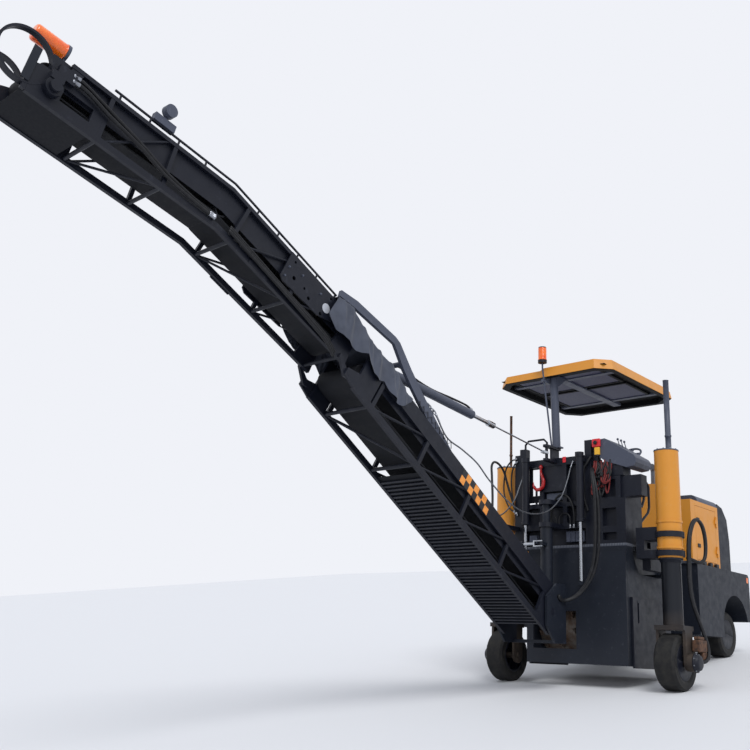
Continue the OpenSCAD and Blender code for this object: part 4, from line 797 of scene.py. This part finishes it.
ROPE_R, CHAIN_LINKS, LINK_HALF = 0.009, 4, 0.031
SAG = ((-6290, 1852), (-5995, 1764), (-5706, 1660), (-5459, 1501), (-5104, 1324), (-4790, 1237),
       (-4464, 1238), (-4123, 1332), (-3824, 1548))
for side, y_truss, y_post, rise in (("right", -300, -290, ((-3660, 1800), (-3585, 1960), (-3506, 2085))),
                                    ("left", 300, 455, ((-3660, 1790), (-3575, 1930), (-3507, 1995)))):
    x, z = np.transpose(SAG + rise)
    y = np.interp(x, (-5400, -3700), (y_truss, y_post))
    chain_start = lower([-3176, y_truss, 500])
    rope_start = lower([-3003, y_truss, 512])
    line = route(np.vstack([rope_start, machine(np.column_stack([x, y, z]))]))
    rope = tubes(f"{side}_safety_cable", [(line, ROPE_R)], wire_rope, None, 10)
    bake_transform(rope)
    rope_ends = ferrules(f"{side}_cable_ends", [line], ROPE_R, None, 0.12)
    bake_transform(rope_ends)
    chain = links(chain_start, rope_start - chain_start, CHAIN_LINKS, LINK_HALF)
    tubes(f"{side}_cable_chain", chain, ferrule_steel, "lower_conveyor", 10)

# Left drive hose: a thick braided rubber hose that rises beside the tower, loops over and drops to the
# lower truss, with a ferrule pressed on each end.
DRIVE_HOSE_R = 0.016
drive_line = route(np.vstack([machine([[-3515, 610, 1420], [-3525, 665, 1600], [-3550, 735, 1840],
                                       [-3600, 760, 2010], [-3720, 755, 2095], [-3900, 715, 2100],
                                       [-4060, 650, 2010], [-4180, 560, 1820], [-4310, 455, 1500],
                                       [-4430, 385, 1180], [-4560, 345, 900]]),
                              lower([[-690, 330, 440], [-715, 328, 340]])]))
drive_hose = tubes("left_drive_hose", [(drive_line, DRIVE_HOSE_R)], hose_rubber, None, 14)
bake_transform(drive_hose)
drive_ends = ferrules("left_drive_hose_ends", [drive_line], DRIVE_HOSE_R, None)
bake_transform(drive_ends)

# Exhaust flange: a pressed steel collar welded round the pipe where it leaves the cowl, tinted by the same
# heat.
tubes("exhaust_flange", [turned([-1180, -330, 2125], up, [[0, 74], [9, 76], [15, 73], [17, 56], [30, 54],
                                                          [33, 48.4]])], exhaust_steel, "chassis", 40)

# Head guard: a flat plate cut from sheet steel, painted charcoal and bolted on beside the right end of the
# head.
blocks("head_guard_plate", [((-2062, -289, 84), (-1990, -282, 418))], charcoal_enamel, "upper_conveyor",
       2, head)

# Lacing: a thin black rope, threaded in a zigzag through eyelets between the truss's top edge and the
# hoist's arm on both sides.
EYELETS, EYELET_LOW, EYELET_HIGH, LACE_R = 19, 330, 392, 0.005
x, z = np.linspace(-3370, -2620, EYELETS), np.where(np.arange(EYELETS) % 2, EYELET_HIGH, EYELET_LOW)
tubes("lacing_ropes", [(lower(np.column_stack([x, np.full(EYELETS, y), z])), LACE_R) for y in (-347, 347)],
      hose_rubber, "lower_conveyor", 6)

# Poles on the legs: steel sleeves clamped over the sensors' poles, painted grey on the right one and bare
# and browned on the left one, each with a capped end.
POLE_X, POLE_FOOT = -3250, 2128
for side, r, top, metal in (("right", 36, 3072, grey_enamel), ("left", 18, 2912, cast_rust)):
    tall = top - POLE_FOOT
    tubes(f"{side}_sensor_pole", [turned([POLE_X, LEG_Y[side], POLE_FOOT], up, [
        [0, r + 0.6], [1, r + 12], [34, r + 12], [36, r + 0.7], [190, r + 0.7], [192, r + 7], [214, r + 7],
        [216, r + 0.6], [tall, r + 0.6], [tall + 1, r + 3], [tall + 7, r + 3], [tall + 9, r - 4],
        [tall + 9.2, 1]])], metal, LEG_BODY[side], 28)


# Canopy trim: a black rubber edge of angle section, pressed on the rim round the roof's underside and up its
# inner wall.
def edge_trim(rear, front, half, cut, section):
    """A closed ring along the canopy's cut-cornered plan: a section of rows (inset from the plan, z) swept
    along its eight straight sides."""
    rings = []
    for inset, z in (*section, section[0]):
        x0, x1, h = rear + inset, front - inset, half - inset
        rings += [(x0, -h + cut, z), (x0 + cut, -h, z), (x1 - cut, -h, z), (x1, -h + cut, z),
                  (x1, h - cut, z), (x1 - cut, h, z), (x0 + cut, h, z), (x0, h - cut, z)]
    return machine(rings), grid_faces(len(section) + 1, 8, wrap=True).tolist()


RIM_LOW, RIM_TOP, WALL_TOP = 3284, 3289.7, 3372
TRIM_OUT, TRIM_IN, TRIM_WALL = 5, 78, 72.5
new_piece("canopy_edge_trim", *edge_trim(-3650, -1500, 900, 190, (
    (TRIM_OUT, RIM_TOP), (TRIM_OUT, RIM_LOW), (TRIM_IN, RIM_LOW), (TRIM_IN, WALL_TOP), (TRIM_WALL, WALL_TOP),
    (TRIM_WALL, RIM_TOP))), liner_plastic, "chassis", smooth=False)

# Crane hook: forged in one bend under red enamel, thick in its back and drawn out to the tip, hung from its
# lug by a turned collar. It takes the place of the plain hook of the CAD part.
HOOK_X = -3530
hook_run = ((200, 2058), (203, 2010), (200, 1960), (178, 1905), (160, 1840), (172, 1775), (218, 1736),
            (275, 1738), (312, 1775), (322, 1822), (318, 1840))
hook_line = route(machine([[HOOK_X, y, z] for y, z in hook_run]), 0.008)
girth = np.interp(np.linspace(0, 1, len(hook_line)), [0, 0.15, 0.3, 0.5, 0.75, 0.93, 1],
                  [0.015, 0.016, 0.021, 0.026, 0.024, 0.013, 0.005])
collar = turned([HOOK_X, *hook_run[0]], up, [[-34, 20], [-30, 27], [-8, 27], [-4, 18], [14, 16], [15, 1]])
hook = tubes("forged_hook", [(hook_line, girth), collar], red_enamel, "chassis", 20)
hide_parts("red_hook")


# Seat: two moulded foam cushions in black vinyl with sewn seams, on a steel pedestal under a ribbed gaiter.
# They take the place of the plain seat of the CAD part.
def cushion(centre, half, axes, seams, rows=60, cols=96):
    """Superellipsoid: plan cos(p)^0.25 by rounded rectangle, height sin(p)^0.55, less grooves 5 mm deep where
    the seams run, as exp(-(y / 7 mm)^2)."""
    p = np.radians(np.linspace(-89.5, 89.5, rows))[:, None]
    q = np.linspace(0, 2 * math.pi, cols, endpoint=False)[None, :]

    def power(v, k):
        return np.sign(v) * np.abs(v) ** k

    x = half[0] * power(np.cos(p), 0.25) * power(np.cos(q), 0.3)
    y = half[1] * power(np.cos(p), 0.25) * power(np.sin(q), 0.3)
    z = half[2] * power(np.sin(p), 0.55) * np.ones_like(q)
    for seam in seams:
        z = z - (p > 0.2) * 5 * np.exp(-((y - seam) / 7) ** 2)
    local = np.stack([x, y, z], -1).reshape(-1, 3)[:, axes] + centre
    caps = [list(range(cols))[::-1], list(range((rows - 1) * cols, rows * cols))]
    faces = grid_faces(rows, cols, wrap=True).tolist() + caps
    return machine(local), faces if axes == [0, 1, 2] else [face[::-1] for face in faces]


SEAT_X, SEAT_Y, FILL = -2700, 150, 0.8
seat_vinyl = grained("seat_vinyl", ("#131417", "#1e1f23"), 3, 0.5, Specular_IOR_Level=0.4, Sheen_Weight=0.1)
for name, centre, half, axes, seams in (
        ("seat_cushion", [SEAT_X, SEAT_Y, 1341], [252, 252, 56], [0, 1, 2], (-90, 90)),
        ("seat_backrest", [SEAT_X - 196, SEAT_Y, 1645], [250, 232, 56], [2, 1, 0], (-80, 80))):
    new_piece(name, *cushion(centre, half, axes, seams), seat_vinyl, "chassis")
gaiter = np.stack([np.linspace(20, 290, 55), 82 + 14 * np.cos(np.arange(55) * math.pi / 2)], 1)
pedestal = tubes("seat_pedestal", [turned([SEAT_X, SEAT_Y, 965], up, np.vstack([
    [[0.2, 120], [1, 130], [12, 130], [14, 72]], gaiter, [[296, 180], [320, 190]]]))],
                 black_plastic, "chassis", 40)
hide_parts("seat")

# Ground, sky and lamps of the studio: a pale floor that takes the shadow, a pale sky for camera,
# gloss and glass, and one soft sun from the right rear as on a bright hazy day.
FLOOR_HALF = 60
corners = [(x * FLOOR_HALF, y * FLOOR_HALF, 0) for x, y in ((-1, -1), (1, -1), (1, 1), (-1, 1))]
floor_paint = new_material("studio_floor_paint", Base_Color=linear("#dcdde0"), Roughness=0.9)[0]
floor = new_piece("studio_floor", corners, [(0, 1, 2, 3)], floor_paint, None, smooth=False)

world = bpy.data.worlds.new("studio_sky")
bpy.context.scene.world = world
world.use_nodes = True
sky_tree = world.node_tree
sky_tree.nodes.clear()
rays = add(sky_tree, "ShaderNodeLightPath").outputs
seen = rays["Is Camera Ray"]
for kind in ("Is Glossy Ray", "Is Transmission Ray"):
    seen = combined(sky_tree, seen, rays[kind], "MAXIMUM")
soft = add(sky_tree, "ShaderNodeBackground", {"Color": "#e9edf5", "Strength": 0.85})
pale = add(sky_tree, "ShaderNodeBackground", {"Color": "#f0f2f8", "Strength": 1.0})
sky = add(sky_tree, "ShaderNodeMixShader", {"Fac": seen, 1: soft.outputs["Background"],
                                            2: pale.outputs["Background"]})
add(sky_tree, "ShaderNodeOutputWorld", {"Surface": sky.outputs["Shader"]})

sun_lamp = bpy.data.lights.new("hazy_sun", "SUN")
sun_lamp.energy = 1.6
sun_lamp.angle = math.radians(25)
sun = bpy.data.objects.new("hazy_sun", sun_lamp)
sun.rotation_euler = [math.radians(a) for a in (38, -12, -20)]
bpy.context.collection.objects.link(sun)

# The camera stands low behind the machine's right rear, where the photograph was taken from: its place in
# metres of the part's frame, its angles in degrees, and the focal length of a 36 mm wide sensor.
EYE = (-9.024, -6.299, 1.748)
YAW, TILT, ROLL = (math.radians(a) for a in (41.42, 10.94, 2.59))
SENSOR, FOCAL = 36, 44.6
ahead = np.array([math.cos(YAW) * math.cos(TILT), math.sin(YAW) * math.cos(TILT), math.sin(TILT)])
right = np.array([math.sin(YAW), -math.cos(YAW), 0])
down = np.cross(ahead, right)
image_right = math.cos(ROLL) * right + math.sin(ROLL) * down
image_down = -math.sin(ROLL) * right + math.cos(ROLL) * down
lens = bpy.data.cameras.new("camera")
lens.sensor_width, lens.lens = SENSOR, FOCAL
camera = bpy.data.objects.new("camera", lens)
turn = np.eye(4)
turn[:3] = np.stack([image_right, -image_down, -ahead, EYE], 1)
camera.matrix_world = Matrix(turn.tolist())
bpy.context.collection.objects.link(camera)
bpy.context.scene.camera = camera
bpy.context.scene.view_settings.view_transform = "Standard"
